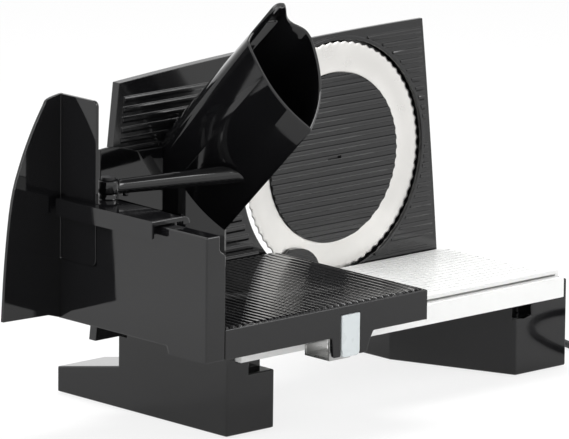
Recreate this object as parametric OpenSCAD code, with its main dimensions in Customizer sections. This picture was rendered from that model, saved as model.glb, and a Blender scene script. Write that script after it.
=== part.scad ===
// Household food slicer with a round toothed blade, a sliding carriage and a slanted feed chute.
// Lengths are in millimetres. Positions below are measured from the blade's axis in X, from the
// blade's plane in Y and from the table in Z; place() then moves all of it so that the origin lies
// on the table under the middle of the slicer.

/* [Blade] */
// Diameter of the toothed blade
blade_d = 170; // [164:1:180]
// Thickness of the blade's steel
blade_t = 1.4; // [1:0.1:2]
// Number of teeth round the blade
tooth_count = 120; // [90:1:150]
// Depth of one tooth
tooth_depth = 1; // [0.5:0.1:1.6]
// Width of the steel ring left bare round the cover
bare_ring_w = 22.6; // [18:0.2:28]
// Width of the bevel ground along the teeth
bevel_w = 7; // [5:0.5:9]
// How far the blade dips below the top of the base
blade_dip = 3; // [1:0.5:6]

/* [Base] */
// Height of the underside of the base above the table
base_lift = 53.7; // [50:0.5:60]
// Height of the base
base_h = 19.2; // [17:0.2:24]
// Left end of the base, left of the blade's axis
base_left = 193; // [188:1:196]
// Right end of the base, right of the blade's axis
base_right = 123; // [120:1:128]
// Front of the base, in front of the blade's plane
base_front = 115.3; // [112:0.5:120]
// Rear edge of the base, in front of the blade's plane
base_back = 4; // [4:0.5:6]
// Wall thickness of the base
base_wall = 3; // [2.5:0.5:4]
// Width of the rail slot along the front of the base
slot_w = 3.2; // [3:0.2:4]
// Depth of the rail slot
slot_depth = 8; // [7:0.5:9]
// Step from the top of the base down to its front wall
front_step = 4.7; // [3:0.2:6]
// Spacing of the grooves on the top
groove_pitch = 6; // [5:0.5:8]
// Width of a groove
groove_w = 1.6; // [1:0.2:2.4]
// Depth of a groove
groove_depth = 0.7; // [0.4:0.1:1]

/* [Feet] */
// Width of the left foot
left_foot_w = 44.5; // [40:0.5:48]
// Width of the front of the right foot
right_foot_front_w = 50.5; // [46:0.5:54]
// Width of the rear of the right foot
right_foot_rear_w = 86.2; // [80:0.5:90]
// Where the right foot reaches its full width, in front of the blade's plane
right_foot_turn = 15.4; // [12:0.2:20]
// Rear end of the feet, behind the blade's plane
foot_rear = 69; // [66:0.5:76]
// How far the feet stand back from the front of the base
foot_recess = 5.3; // [3:0.1:8]
// Wall thickness of the feet
foot_wall = 2.6; // [2.2:0.2:3.4]
// Thickness of the foot's cheek beside the end of the base
cheek_t = 7.8; // [5:0.2:8]
// How far the cheek rises along the end of the base
cheek_rise = 11.8; // [8:0.2:15]
// Height of the left foot's toe at its rear end
toe_h = 19; // [16:0.5:22]
// Height of the left foot's toe where the neck starts
toe_root_h = 31; // [28:0.5:36]
// Height of the low block at the front of the feet
block_h = 43; // [38:0.5:46]
// Depth of the notch above that block
notch_depth = 14; // [10:0.5:18]
// Diameter of a rubber pad
pad_d = 13; // [10:0.5:16]

/* [Plates] */
// How far the ribs of the plates stand in front of the blade's plane
face_out = 3; // [2.6:0.1:3.2]
// Thickness of the plates
plate_t = 3; // [2.4:0.2:4]
// Spacing of the ribs
rib_pitch = 7.2; // [6:0.2:9]
// Width of a rib
rib_w = 4.4; // [3:0.2:5]
// Height of a rib
rib_h = 1; // [0.6:0.1:1.4]
// Height of the plates' top corner above the blade's top, at the right
plate_over = 6.6; // [5:0.2:10]
// Drop of the plates' top from the right corner to the left corner
top_drop = 10.4; // [6:0.2:14]
// Bulge of the plates' top edge
top_bulge = 3; // [1:0.2:4]
// Right edge of the plate at its top, right of the blade's axis
plate_right_top = 86.7; // [86:0.1:90]
// Right edge of the plate at the base's top
plate_right_low = 104.4; // [102:0.2:110]
// Left edge of the stop plate at its top, left of the blade's axis
stop_left_top = 207; // [203:0.5:212]
// Left edge of the stop plate at its bottom
stop_left_low = 228; // [222:0.5:232]
// Depth of the stop plate's edge walls
stop_depth = 7; // [5:0.5:9]
// Gap between the stop plate and the blade's teeth, where the slice leaves
slice_gap = 4; // [3:0.2:6]
// Width of the bead that guards the blade on the right
bead_w = 2.6; // [2:0.2:3]
// How far the bead stands in front of the ribs
bead_out = 0.7; // [0.4:0.1:0.9]

/* [Carriage] */
// Height of the tray's ribs above the base
tray_rise = 21.5; // [19:0.5:24]
// Front of the carriage, in front of the blade's plane
carriage_front = 159; // [155:0.5:166]
// Gap between the carriage and the ribs of the plates
carriage_gap = 1.6; // [1.2:0.1:2.2]
// Right end of the tray, left of the blade's axis
tray_right = 56.5; // [52:0.5:60]
// Outer face of the left wall, left of the blade's axis
wall_out = 266; // [260:0.5:270]
// Width of the hollow left wall
wall_w = 18; // [16:0.5:20]
// Height of the left wall above the tray's ribs
wall_h = 66; // [60:0.5:72]
// Thickness of the carriage's skins
skin_t = 2.6; // [2.2:0.2:3.2]
// Spacing of the tray's ribs
tray_pitch = 6; // [5:0.5:8]
// Height of the tray's ribs
tray_rib_h = 1.3; // [0.8:0.1:1.6]
// Height of the front skirt
skirt_h = 22.5; // [20:0.5:24]
// Width of the skirt's lug
lug_w = 36.4; // [32:0.4:40]
// How far the lug hangs below the skirt
lug_drop = 14.5; // [12:0.5:16]
// Left edge of the lug, left of the blade's axis
lug_left = 147.8; // [144:0.2:152]
// Width of the release tab
tab_w = 17; // [14:0.5:18]
// How far the thumb guard stands out to the left of the wall
fin_w = 52.3; // [46:0.5:58]
// Height of the thumb guard above its lower edge
fin_h = 155; // [150:1:162]
// Length of the thumb guard's upright along the wall
shield_l = 40; // [36:0.5:44]

/* [Chute] */
// Inclination of the chute above the table
chute_tilt = 44.2; // [38:0.2:50]
// Inclination of the chute's mouth plane
mouth_lean = 67.7; // [62:0.2:74]
// Width of the chute across its corners
chute_w = 62; // [56:0.5:66]
// Height of the chute's outline, square to its axis
chute_h = 75; // [70:0.5:80]
// Length of the chute's keel
keel_l = 123; // [115:0.2:132]
// Keel of the chute, left of the blade's axis
keel_x = 133.5; // [130:0.5:136]
// Lower end of the keel, in front of the blade's plane
keel_y = 32; // [30:0.5:36]
// Lower end of the keel above the tray's ribs
keel_rise = 31; // [28:0.5:36]
// Wall thickness of the chute
chute_wall = 2.2; // [1.8:0.1:2.8]
// Height of the chute's panel above the tray's ribs
panel_h = 98; // [90:0.5:104]
// Length of the clamp cap along the wall
cap_l = 101; // [90:0.5:106]
// Width of the clamp cap
cap_w = 29.3; // [28:0.2:31]
// Depth of the clamp cap's outer lip
lip_h = 12.5; // [10:0.5:15]
// Diameter of the chute's hinge knuckle
knuckle_d = 15; // [13:0.5:16]
// Diameter of the chute's arm
arm_d = 12; // [10:0.5:13]

/* [Drive] */
// Outer diameter of the worm wheel
wheel_d = 76; // [70:0.5:78]
// Number of teeth on the worm wheel
wheel_teeth = 60; // [40:1:72]
// Outer diameter of the worm
worm_d = 11; // [10:0.5:12]
// Diameter of the blade's fixed axle
axle_d = 10; // [8:0.5:12]
// Diameter of the motor as a share of the housing's depth
motor_d_share = 0.72727; // [0.667:0.001:0.742]
// Length of the motor as a share of the blade's height above the base
motor_l_share = 0.5534; // [0.5:0.001:0.57]
// Depth of the rear housing behind the blade's plane
housing_depth = 66; // [64:0.5:66]
// Place of the motor's axis as a share of the housing's depth
wheel_y_share = 0.46212; // [0.45:0.001:0.47]
// Right side of the rear housing, right of the blade's axis
housing_right = 84; // [80:0.5:85]
// Height of the rear housing above the blade's axis
housing_over = 36; // [33:0.5:40]

/* [Thickness setting] */
// Diameter of the thickness knob
knob_d = 44; // [38:0.5:46]
// Length of the thickness knob
knob_l = 20; // [16:0.5:24]
// Thickest slice that the stop plate sets
slice_max = 20; // [15:0.5:20]
// Diameter of the stop plate's guide rods
rod_d = 6; // [5:0.5:7]

/* [Cord] */
// Diameter of the mains cord
cord_d = 5.4; // [5:0.1:5.6]
// Turns in each layer of the coil
coil_turns = 2.25; // [1.25:1:2.25]
// Diameter of the coil at the middle of its turns
coil_mid_d = 62.4; // [60:0.4:66]

/* [Fits] */
// Radial clearance of a running fit
run_gap = 0.05; // [0.02:0.01:0.09]
// Gap between pieces that pass each other
pass_gap = 0.5; // [0.3:0.05:0.6]
// Gap between pieces that rest on each other and move apart
rest_gap = 0.3; // [0.2:0.05:0.4]

/* [Hidden] */

black = "#17181a";
white = "#f3f3f0";
steel = "#c9cbcc";
light_grey = "#cdd4d5";
brass = "#b99a55";
copper = "#a8622f";

// Overrun of every cut
over = 1;
round_n = 64;
small_n = 32;

// Heights
base_top = base_lift + base_h;
blade_r = blade_d / 2;
blade_z = base_top + blade_r - blade_dip;
tray_top = base_top + tray_rise;
wall_top = tray_top + wall_h;
plate_top_right = blade_z + blade_r + plate_over;
plate_top_left = plate_top_right - top_drop;
stop_bottom = base_lift + pass_gap;
cover_r = blade_r - bare_ring_w;

// Plates in Y
skin_front = -face_out + rib_h;
skin_back = skin_front + plate_t;
carriage_back = face_out + carriage_gap;

// Blade section along Y
blade_front = -1.5;
disc_front = skin_front + rib_h;
hub_r = 14;
wheel_y = wheel_y_share * housing_depth;
wheel_w = 9;
hub_past = 1;
hub_back = wheel_y + wheel_w / 2 + hub_past;
pan_y = 3.6;
pan_t = 2.4;

// Split between the stop plate and the housing's face
split_x = -35;
guard_clear = 1.2;
guard_r = blade_r + guard_clear;

// Feet
left_foot_x = -base_left - cheek_t - pass_gap;
right_foot_x = base_right + cheek_t + pass_gap;
foot_front = -base_front + foot_recess;
pad_out = 0.8;
pad_h = 4;
neck_back = 4;

// Middle of the slicer, which the origin lies under
relief_l = 24;
tab_out = 0.6;
left_end = -wall_out - fin_w;
mid_x = (left_end + right_foot_x + relief_l) / 2;
mid_y = (foot_rear - carriage_front - tab_out) / 2;

module place() translate([-mid_x, -mid_y, 0]) children();

// Box between two corners
module block(low, high) translate(low) cube(high - low);

// Extrudes an X-Z outline along Y
module upright(y0, y1) translate([0, y1, 0]) rotate([90, 0, 0]) linear_extrude(y1 - y0) children();

// Extrudes a Y-Z outline along X
module sideways(x0, x1) translate([x0, 0, 0]) rotate([90, 0, 90]) linear_extrude(x1 - x0) children();

// Cylinder along Y
module rod_y(x, z, r, y0, y1, n = round_n)
    translate([x, y1, z]) rotate([90, 0, 0]) cylinder(h = y1 - y0, r = r, $fn = n);

// Cylinder along Z
module rod_z(x, y, r, z0, z1, n = round_n) translate([x, y, z0]) cylinder(h = z1 - z0, r = r, $fn = n);

// Flat outline with rounded corners, made of squares and circles
module soft_rect(low, high, r) {
    translate([low.x + r, low.y]) square([high.x - low.x - 2 * r, high.y - low.y]);
    translate([low.x, low.y + r]) square([high.x - low.x, high.y - low.y - 2 * r]);
    for (x = [low.x + r, high.x - r]) for (y = [low.y + r, high.y - r])
        translate([x, y]) circle(r = r, $fn = small_n);
}

// Points of a smooth curve through the given points
function spline(p, n) = [
    for (i = [0 : len(p) - 2])
        let (a = p[max(i - 1, 0)], b = p[i], c = p[i + 1], d = p[min(i + 2, len(p) - 1)])
            for (k = [0 : n - 1])
                let (t = k / n)
                    b + (c - a) * t / 2 + (2 * a - 5 * b + 4 * c - d) * t * t / 2
                        + (3 * b - a - 3 * c + d) * t * t * t / 2,
    p[len(p) - 1]
];

// Points of a quadratic arc from a to c, drawn towards b
function bow(a, b, c, n) = [
    for (k = [0 : n]) let (t = k / n) (1 - t) * (1 - t) * a + 2 * t * (1 - t) * b + t * t * c
];

function unit(v) = v / norm(v);

// Moves a closed outline inwards by d
function inset(p, d) = let (n = len(p)) [
    for (i = [0 : n - 1])
        let (a = unit(p[i] - p[(i + n - 1) % n]), b = unit(p[(i + 1) % n] - p[i]),
             na = [-a.y, a.x], nb = [-b.y, b.x])
            p[i] + (na + nb) * d / (1 + na * nb)
];

// One long rib along X, with a rounded crest, standing forward from plane y
rib_shares = [[-0.5, 0], [-0.4, 0.6], [-0.18, 1], [0.18, 1], [0.4, 0.6], [0.5, 0]];
module rib(x0, x1, y, z, w = rib_w, h = rib_h)
    sideways(x0, x1) polygon([for (s = rib_shares) [y - s.y * h, z + s.x * w]]);

// Outline of both plates, from the top left round to the bottom left
plate_low = base_lift;
right_slope_share = (plate_right_low - plate_right_top) / (plate_top_right - base_top);
plate_right_bottom = plate_right_top + right_slope_share * (plate_top_right - plate_low);
top_line = bow(
    [plate_right_top, plate_top_right],
    [(plate_right_top - stop_left_top) / 2, (plate_top_left + plate_top_right) / 2 + 2 * top_bulge],
    [-stop_left_top, plate_top_left], 16
);
edge_bulge = 2;
right_line = bow(
    [plate_right_bottom, plate_low],
    [(plate_right_bottom + plate_right_top) / 2 + edge_bulge, (plate_low + plate_top_right) / 2],
    [plate_right_top, plate_top_right], 8
);
plate_outline = concat(
    right_line, [for (i = [1 : len(top_line) - 1]) top_line[i]],
    [[-stop_left_low, stop_bottom]]
);

// Part of the plates' outline that belongs to the housing
module housing_face_outline() difference() {
    intersection() {
        polygon(plate_outline);
        translate([split_x, plate_low]) square([2 * plate_right_low, plate_top_right]);
    }
    translate([0, blade_z]) circle(r = guard_r, $fn = round_n);
    translate([split_x - over, plate_low - over])
        square([-split_x + over + low_cut_x, base_top + over - plate_low]);
}
low_cut_x = 20;

// Part of the plates' outline that belongs to the stop plate
module stop_outline() difference() {
    intersection() {
        polygon(plate_outline);
        translate([-stop_left_low, stop_bottom])
            square([stop_left_low + split_x - pass_gap, plate_top_right]);
    }
    translate([0, blade_z]) circle(r = blade_r + slice_gap, $fn = round_n);
    translate([-stop_foot_right, stop_bottom - over]) square([stop_foot_right, base_top + over - stop_bottom]);
}
stop_foot_right = 100;

// Base
rail_w = 7;
pad_inset = 14;
screw_r = 2;
screw_head_r = 4;
screw_head_h = 2.6;
boss_r = 5;
base_corner_r = 8;
screw_in = 20;
screw_back_in = 30;
screw_spots = [
    for (x = [-base_left + screw_in, base_right - screw_in])
        for (y = [-base_front + screw_back_in, -base_back - screw_back_in]) [x, y]
];
spindle_x = -151;
rod_spread = 39;
rod_spots = [spindle_x - rod_spread, spindle_x + rod_spread];
rod_up = 8.8;
rod_z0 = base_lift + rod_up;
guide_in = 14;
guide_pitch = 38;
guide_back = -base_back - guide_in;
guide_front = guide_back - guide_pitch;
bush_t = 2;
spindle_r = 4;

module base_plan(d) difference() {
    translate([-base_left + d, -base_front + d])
        square([base_left + base_right - 2 * d, base_front - base_back - 2 * d]);
    difference() {
        translate([base_right - d - base_corner_r, -base_back - d - base_corner_r])
            square(base_corner_r + over);
        translate([base_right - d - base_corner_r, -base_back - d - base_corner_r])
            circle(r = base_corner_r, $fn = small_n);
    }
}

module base_plate() color(white) place() difference() {
    union() {
        difference() {
            translate([0, 0, base_lift]) linear_extrude(base_h) base_plan(0);
            translate([0, 0, base_lift - over]) linear_extrude(base_h - base_wall + over) base_plan(base_wall);
        }
        block([-base_left, -base_front, base_top - slot_depth - base_wall],
              [base_right, -base_front + 2 * base_wall + slot_w + rail_w, base_top - front_step]);
        for (s = screw_spots) rod_z(s.x, s.y, boss_r, base_lift, base_top - base_wall / 2);
        for (y = [guide_back, guide_front])
            block([rod_spots[0] + base_wall, y - boss_r, base_lift],
                  [rod_spots[1] + 2 * boss_r, y + boss_r, base_top - base_wall / 2]);
    }
    block([-base_left - over, -base_front - over, base_top - front_step],
          [base_right + over, -base_front + base_wall + slot_w, base_top + over]);
    block([-base_left - over, -base_front + base_wall, base_top - slot_depth],
          [base_right + over, -base_front + base_wall + slot_w, base_top + over]);
    for (i = [1 : floor((base_front - base_back - base_wall - slot_w) / groove_pitch) - 1])
        block([-base_left + pad_inset, -base_back - i * groove_pitch - groove_w, base_top - groove_depth],
              [base_right - pad_inset, -base_back - i * groove_pitch, base_top + over]);
    for (s = screw_spots) rod_z(s.x, s.y, screw_r + run_gap, base_lift - over, base_top - base_wall);
    for (x = rod_spots) rod_y(x + rod_in, rod_z0, rod_d / 2 + bush_t, guide_front - boss_r - over, over);
    rod_y(spindle_x, rod_z0, spindle_r + bush_t, guide_back - boss_r - over, over);
}
rod_in = 12;

// Left foot: side outline, from the front bottom round to the rear bottom
module left_foot_side(d) polygon([
    [foot_front + d, pad_out - 2 * over * sign(d)],
    [foot_front + d, base_lift - d],
    [neck_back - d, base_lift - d],
    [neck_back - d, toe_root_h - d],
    [foot_rear - d, toe_h - d],
    [foot_rear - d, pad_out - 2 * over * sign(d)]
]);

module foot_holes(spots) for (s = spots)
    rod_z(s.x, s.y, screw_r + run_gap, base_lift - foot_wall - over, base_lift + over);

pad_socket_r = pad_d / 2 + foot_wall;
socket_lap = 0.6;
socket_in = foot_wall + pad_socket_r - socket_lap;
left_pads = [
    for (x = [left_foot_x + socket_in, left_foot_x + left_foot_w - socket_in])
        for (y = [foot_front + socket_in, foot_rear - socket_in]) [x, y]
];
right_pads = [
    [right_foot_x - right_foot_front_w + socket_in, foot_front + socket_in],
    [right_foot_x - socket_in, foot_front + socket_in],
    [right_foot_x - right_foot_rear_w + socket_in, foot_rear - socket_in],
    [right_foot_x - socket_in, foot_rear - socket_in]
];

module pad_sockets(spots, height) for (p = spots) difference() {
    rod_z(p.x, p.y, pad_socket_r, pad_out, height);
    rod_z(p.x, p.y, pad_d / 2, pad_out - over, pad_h);
}

// Lining of the notch above the front block: its floor, its back and its side at x_side
module notch_lining(x0, x1, x_side) {
    y0 = foot_front + foot_wall;
    y1 = foot_front + notch_depth;
    z0 = block_h - foot_wall;
    block([x0, y0, z0], [x1, y1 + foot_wall, block_h]);
    block([x0, y1, z0], [x1, y1 + foot_wall, base_lift - foot_wall]);
    block([x_side, y0, z0], [x_side + foot_wall, y1, base_lift - foot_wall]);
}

module left_foot() color(black) place() {
    difference() {
        union() {
            sideways(left_foot_x, left_foot_x + left_foot_w) left_foot_side(0);
            block([left_foot_x, foot_front, base_lift - foot_wall],
                  [left_foot_x + cheek_t, -carriage_back, base_lift + cheek_rise]);
        }
        sideways(left_foot_x + foot_wall, left_foot_x + left_foot_w - foot_wall) left_foot_side(foot_wall);
        block([left_foot_x + left_foot_w - notch_w, foot_front - over, block_h],
              [left_foot_x + left_foot_w + over, foot_front + notch_depth, base_lift + over]);
        foot_holes([screw_spots[0], screw_spots[1]]);
    }
    notch_lining(left_foot_x + left_foot_w - notch_w - foot_wall, left_foot_x + left_foot_w - foot_wall,
                 left_foot_x + left_foot_w - notch_w - foot_wall);
    pad_sockets(left_pads, toe_h - foot_wall);
}
notch_w = 23.6;

// Right foot: plan outline
module right_foot_plan(d) polygon([
    [right_foot_x - right_foot_front_w + d, foot_front + d],
    [right_foot_x - d, foot_front + d],
    [right_foot_x - d, foot_rear - d],
    [right_foot_x - right_foot_rear_w + d, foot_rear - d],
    [right_foot_x - right_foot_rear_w + d, -right_foot_turn]
]);

module right_foot() color(black) place() {
    difference() {
        union() {
            translate([0, 0, pad_out]) linear_extrude(base_lift - pad_out) right_foot_plan(0);
            block([right_foot_x - cheek_t, foot_front, base_lift - foot_wall],
                  [right_foot_x, -carriage_back, base_lift + cheek_rise]);
        }
        translate([0, 0, pad_out - over])
            linear_extrude(base_lift - foot_wall - pad_out + over) right_foot_plan(foot_wall);
        block([right_foot_x - right_foot_front_w - over, foot_front - over, block_h],
              [right_foot_x - right_foot_front_w + right_notch_w, foot_front + notch_depth, base_lift + over]);
        foot_holes([screw_spots[2], screw_spots[3]]);
        translate([right_foot_x - foot_wall - over, gland_y, gland_z]) rotate([0, 90, 0])
            cylinder(h = foot_wall + 2 * over, r = gland_r, $fn = small_n);
    }
    notch_x = right_foot_x - right_foot_front_w + right_notch_w;
    notch_lining(notch_x - right_notch_w + foot_wall, notch_x + foot_wall, notch_x);
    pad_sockets(right_pads, toe_h - foot_wall);
}
right_notch_w = 15;
gland_y = -30;
gland_z = 16;
gland_r = 5;

module foot_pads() color("#2a2a2b") place()
    for (p = concat(left_pads, right_pads)) rod_z(p.x, p.y, pad_d / 2, 0, pad_h);

screw_l = 13;
module foot_screws() color(steel) place() for (s = screw_spots) {
    rod_z(s.x, s.y, screw_r, base_lift - foot_wall, base_lift - foot_wall + screw_l, small_n);
    rod_z(s.x, s.y, screw_head_r, base_lift - foot_wall - screw_head_h, base_lift - foot_wall, small_n);
}

// Housing's ribbed face
rib_margin = 6;
rib_end = 3;
rib_low = 14;
bead_start = -62;
bead_end = 112;
function right_edge(z) = plate_right_top + right_slope_share * (plate_top_right - z);
function ring_x(r, z) = abs(z - blade_z) < r ? sqrt(r * r - (z - blade_z) * (z - blade_z)) : 0;
rib_count = floor((plate_top_right - base_top - rib_low) / rib_pitch);
rib_start = 1;
hub_clear = 1;
bead_step = 6;

module housing_front() color(black) place() difference() {
    union() {
        upright(skin_front, skin_back) housing_face_outline();
        for (i = [0 : rib_count - 1])
            let (z = base_top + rib_low + i * rib_pitch,
                 x0 = ring_x(guard_r + bead_w, z) + rib_start, x1 = right_edge(z) - rib_end)
                if (x1 - x0 > rib_end && z < plate_top_right - rib_margin)
                    rib(max(x0, split_x + rib_margin), x1, skin_front, z);
        intersection() {
            difference() {
                rod_y(0, blade_z, guard_r + bead_w, -face_out - bead_out, pan_y + pan_t);
                rod_y(0, blade_z, guard_r, -face_out - bead_out - over, pan_y);
            }
            upright(-face_out - bead_out, pan_y + pan_t) translate([0, blade_z])
                polygon(concat(
                    [[0, 0]], [for (a = [bead_start : bead_step : bead_end]) 2 * blade_r * [cos(a), sin(a)]]));
        }
        rod_y(0, blade_z, hub_case_r, pan_y, pan_y + pan_t);
        upright(skin_front, pan_y + pan_t) difference() {
            translate([housing_left, plate_low]) square([housing_right - housing_left, base_top - plate_low]);
            translate([0, blade_z]) circle(r = guard_r, $fn = round_n);
        }
    }
    rod_y(0, blade_z, hub_r + hub_clear + rest_gap, -over, 2 * pan_y + pan_t);
    for (s = cover_spots) rod_y(s.x, s.y, screw_r + run_gap, pan_y - over, pan_y + pan_t + over);
}
housing_left = 44.8;
hub_case_r = 46;
cover_spot_shares = [[-0.424, -0.212], [-0.353, 0.306], [0.871, 0.141], [0.871, -0.424]];
cover_spots = [for (s = cover_spot_shares) [s.x * blade_r, blade_z + s.y * blade_r]];
boss_floor = 2;
boss_back = pan_y + pan_t + screw_l + boss_floor;
small_head_r = 3;

// Rear housing outlines
case_r = hub_case_r;
case_corner_r = 8;
module rear_box(d) soft_rect(
    [housing_left_rear + d, base_lift + d], [housing_right - d, blade_z + housing_over - d], case_corner_r);
housing_left_rear = 8;
case_past = 6;
gear_case_back = hub_back + case_past;
vent_count = 6;
vent_w = 2.4;
vent_pitch = 6;
module housing_rear() color(black) place() difference() {
    union() {
        rod_y(0, blade_z, case_r, pan_y + pan_t, gear_case_back);
        upright(pan_y + pan_t, housing_depth) rear_box(0);
    }
    difference() {
        union() {
            rod_y(0, blade_z, case_r - plate_t, pan_y, gear_case_back - plate_t);
            upright(pan_y, housing_depth - plate_t) rear_box(plate_t);
        }
        rod_y(0, blade_z, axle_d, hub_back + over, housing_depth);
        for (s = cover_spots) rod_y(s.x, s.y, boss_r, pan_y, boss_back);
    }
    rod_y(0, blade_z, axle_d / 2, pan_y, housing_depth - plate_t);
    for (s = cover_spots) rod_y(s.x, s.y, screw_r + run_gap, pan_y, pan_y + pan_t + screw_l + over);
    for (i = [0 : vent_count - 1])
        let (z = base_lift + 4 * boss_r + i * vent_pitch)
            block([housing_left_rear + 2 * boss_r, housing_depth - plate_t - over, z],
                  [housing_right - 2 * boss_r, housing_depth + over, z + vent_w]);
    switch_block(0, blade_z + housing_over - plate_t - over, blade_z + housing_over + over);
}
switch_x = 46;
switch_y = 36;
switch_w = 14;
switch_l = 22;

module housing_screws() color(steel) place() for (s = cover_spots) {
    rod_y(s.x, s.y, screw_r, pan_y, pan_y + pan_t + screw_l, small_n);
    rod_y(s.x, s.y, small_head_r, pan_y - guard_head_h, pan_y, small_n);
}
guard_head_h = 1.4;

module blade_axle() color(steel) place() rod_y(0, blade_z, axle_d / 2, axle_front, housing_depth - plate_t);
axle_front = 4;

// Lower guard in front of the blade's lowest part
guard_y0 = -4;
guard_y1 = -2;
guard_left = 48.4;
guard_right = 11.9;
guard_drop = 6.9;
guard_low = base_top - guard_drop;
guard_shares = [[0.164, 0], [0, 0.859], [0.137, 0.965], [0.945, 1.035], [1, 0]];
guard_points = [for (s = guard_shares)
    [-guard_left + s.x * (guard_left - guard_right), guard_low + s.y * (tray_top - guard_low)]];
module lower_guard() color(black) place() upright(guard_y0, guard_y1)
    polygon(concat(
        [guard_points[0], guard_points[1]], bow(guard_points[2], guard_points[3], guard_points[4], 8)));

// Blade
blade_shares = [[0, 0.12], [0.3, 0.5], [0.6, 0.5], [0.9, 0.1]];
blade_dish = 1.2;
blade_bevel_d = 1;
blade_hole_r = 12;
screw_ring_r = 18;
ring_step = 0.4;
back_step = 0.8;
bevel_front = blade_front + ring_step + blade_bevel_d;
tooth_root = blade_r - tooth_depth - ring_step;
module blade() color(steel) place() translate([0, 0, blade_z]) rotate([-90, 0, 0]) difference() {
    union() {
        rotate_extrude($fn = 96) polygon(concat(
            [[blade_hole_r, blade_back], [blade_hole_r, blade_back - blade_t]],
            [[cover_r, blade_back - blade_t], [cover_r, blade_front + ring_step]],
            [for (s = blade_shares)
                [cover_r + s.x * (bare_ring_w - bevel_w), blade_front + ring_step + s.y * blade_dish]],
            [[blade_r - bevel_w, blade_front + ring_step], [tooth_root, bevel_front]],
            [[tooth_root, blade_edge], [blade_r - bevel_w, blade_back - back_step], [cover_r, blade_back]]));
        translate([0, 0, bevel_front]) linear_extrude(blade_edge - bevel_front)
            difference() {
                polygon([for (i = [0 : 4 * tooth_count - 1]) let (a = i * 90 / tooth_count)
                    (blade_r - tooth_depth * (1 - cos(i * 90)) / 2) * [cos(a), sin(a)]]);
                circle(r = blade_r - bevel_w / 2, $fn = round_n);
            }
    }
    for (a = [0 : 120 : 240]) rotate(a) translate([screw_ring_r, 0, -over])
        cylinder(h = blade_back + 2 * over, r = screw_r + run_gap, $fn = small_n);
}
blade_back = 1.9;
blade_edge = 0.7;

// Worm wheel with its hub
tooth_h = 2;
flange_over = 4;
module blade_gear() color("#e4dfd2") place() translate([0, 0, blade_z]) rotate([-90, 0, 0]) difference() {
    union() {
        translate([0, 0, blade_back]) cylinder(h = hub_back - blade_back, r = hub_r, $fn = round_n);
        translate([0, 0, blade_back])
            cylinder(h = pan_y - blade_back - rest_gap, r = screw_ring_r + flange_over, $fn = round_n);
        translate([0, 0, wheel_y - wheel_w / 2]) linear_extrude(wheel_w)
            polygon([for (i = [0 : 4 * wheel_teeth - 1])
                let (q = i % 4, r = wheel_d / 2 - (q < 2 ? 0 : tooth_h),
                     a = (i + (q % 2) / 3) * 90 / wheel_teeth)
                    r * [cos(a), sin(a)]]);
    }
    translate([0, 0, blade_back - over])
        cylinder(h = hub_back + 2 * over, r = axle_d / 2 + bush_t, $fn = round_n);
    for (a = [0 : 120 : 240]) rotate(a) translate([screw_ring_r, 0, 0])
        cylinder(h = pan_y, r = screw_r + run_gap, $fn = small_n);
}

hub_bush_l = 10;
module hub_bushes() color(brass) place() for (y = [axle_front, hub_back - hub_bush_l]) difference() {
    rod_y(0, blade_z, axle_d / 2 + bush_t, y, y + hub_bush_l);
    rod_y(0, blade_z, axle_d / 2 + run_gap, y - over, y + hub_bush_l + over);
}

small_head_h = 0.8;
module blade_screws() color(steel) place() for (a = [0 : 120 : 240])
    translate([0, 0, blade_z]) rotate([-90, 0, 0]) rotate(a) translate([screw_ring_r, 0, blade_back - blade_t]) {
        cylinder(h = blade_t + pan_y - blade_back - 2 * rest_gap, r = screw_r, $fn = small_n);
        translate([0, 0, -small_head_h]) cylinder(h = small_head_h, r = small_head_r, $fn = small_n);
    }

// Ribbed cover on the blade
latch_l = 13;
latch_h = 2;
cover_rib_count = floor((cover_r - rib_w) / rib_pitch);
recess_over = 6;
recess_h = 1.1;
module blade_cover() color(black) place() difference() {
    union() {
        difference() {
            rod_y(0, blade_z, cover_r - rest_gap, disc_front - rib_h, blade_back - blade_t);
            rod_y(0, blade_z, screw_ring_r + recess_over, blade_back - blade_t - recess_h, blade_back);
        }
        intersection() {
            rod_y(0, blade_z, cover_r - 2 * rest_gap, disc_front - 3 * rib_h, disc_front);
            for (i = [-cover_rib_count : cover_rib_count])
                rib(-cover_r, cover_r, disc_front - rib_h, blade_z + i * rib_pitch);
        }
    }
    block([-latch_l / 2, disc_front - 3 * rib_h, blade_z - latch_h / 2],
          [latch_l / 2, disc_front, blade_z + latch_h / 2]);
}

// Motor, upright beside the worm wheel
worm_x = (wheel_d + worm_d) / 2 + rest_gap;
motor_d = motor_d_share * housing_depth;
motor_l = motor_l_share * (blade_z - base_lift);
motor_lift = 6;
motor_low = base_lift + motor_lift;
motor_top = motor_low + motor_l;
can_wall = 6;
shaft_r = 3;
shaft_tail = 2;
worm_l = 30;
worm_pitch = 4;
thread_w = 1.8;
thread_h = 1.6;
module motor_can() color("#8f9294") place() difference() {
    rod_z(worm_x, wheel_y, motor_d / 2, motor_low, motor_top);
    rod_z(worm_x, wheel_y, motor_d / 2 - can_wall, motor_low + plate_t, motor_top - plate_t);
    rod_z(worm_x, wheel_y, shaft_r + bush_t, motor_low - over, motor_top + over);
}
bracket_over = 1.5;
bracket_z = blade_z + worm_l / 2 + bracket_over;
bracket_t = 4;
bracket_left = 8;
bracket_w = 18;
module motor_bracket() color("#7d8082") place() difference() {
    block([worm_x - bracket_left, wheel_y - bracket_w / 2, bracket_z],
          [housing_right - plate_t, wheel_y + bracket_w / 2, bracket_z + bracket_t]);
    rod_z(worm_x, wheel_y, shaft_r + bush_t, bracket_z - over, bracket_z + bracket_t + over);
}
module motor_bushes() color(brass) place() for (z = [motor_low, motor_top - plate_t, bracket_z]) difference() {
    rod_z(worm_x, wheel_y, shaft_r + bush_t, z, z + plate_t);
    rod_z(worm_x, wheel_y, shaft_r + run_gap, z - over, z + plate_t + over);
}
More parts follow.
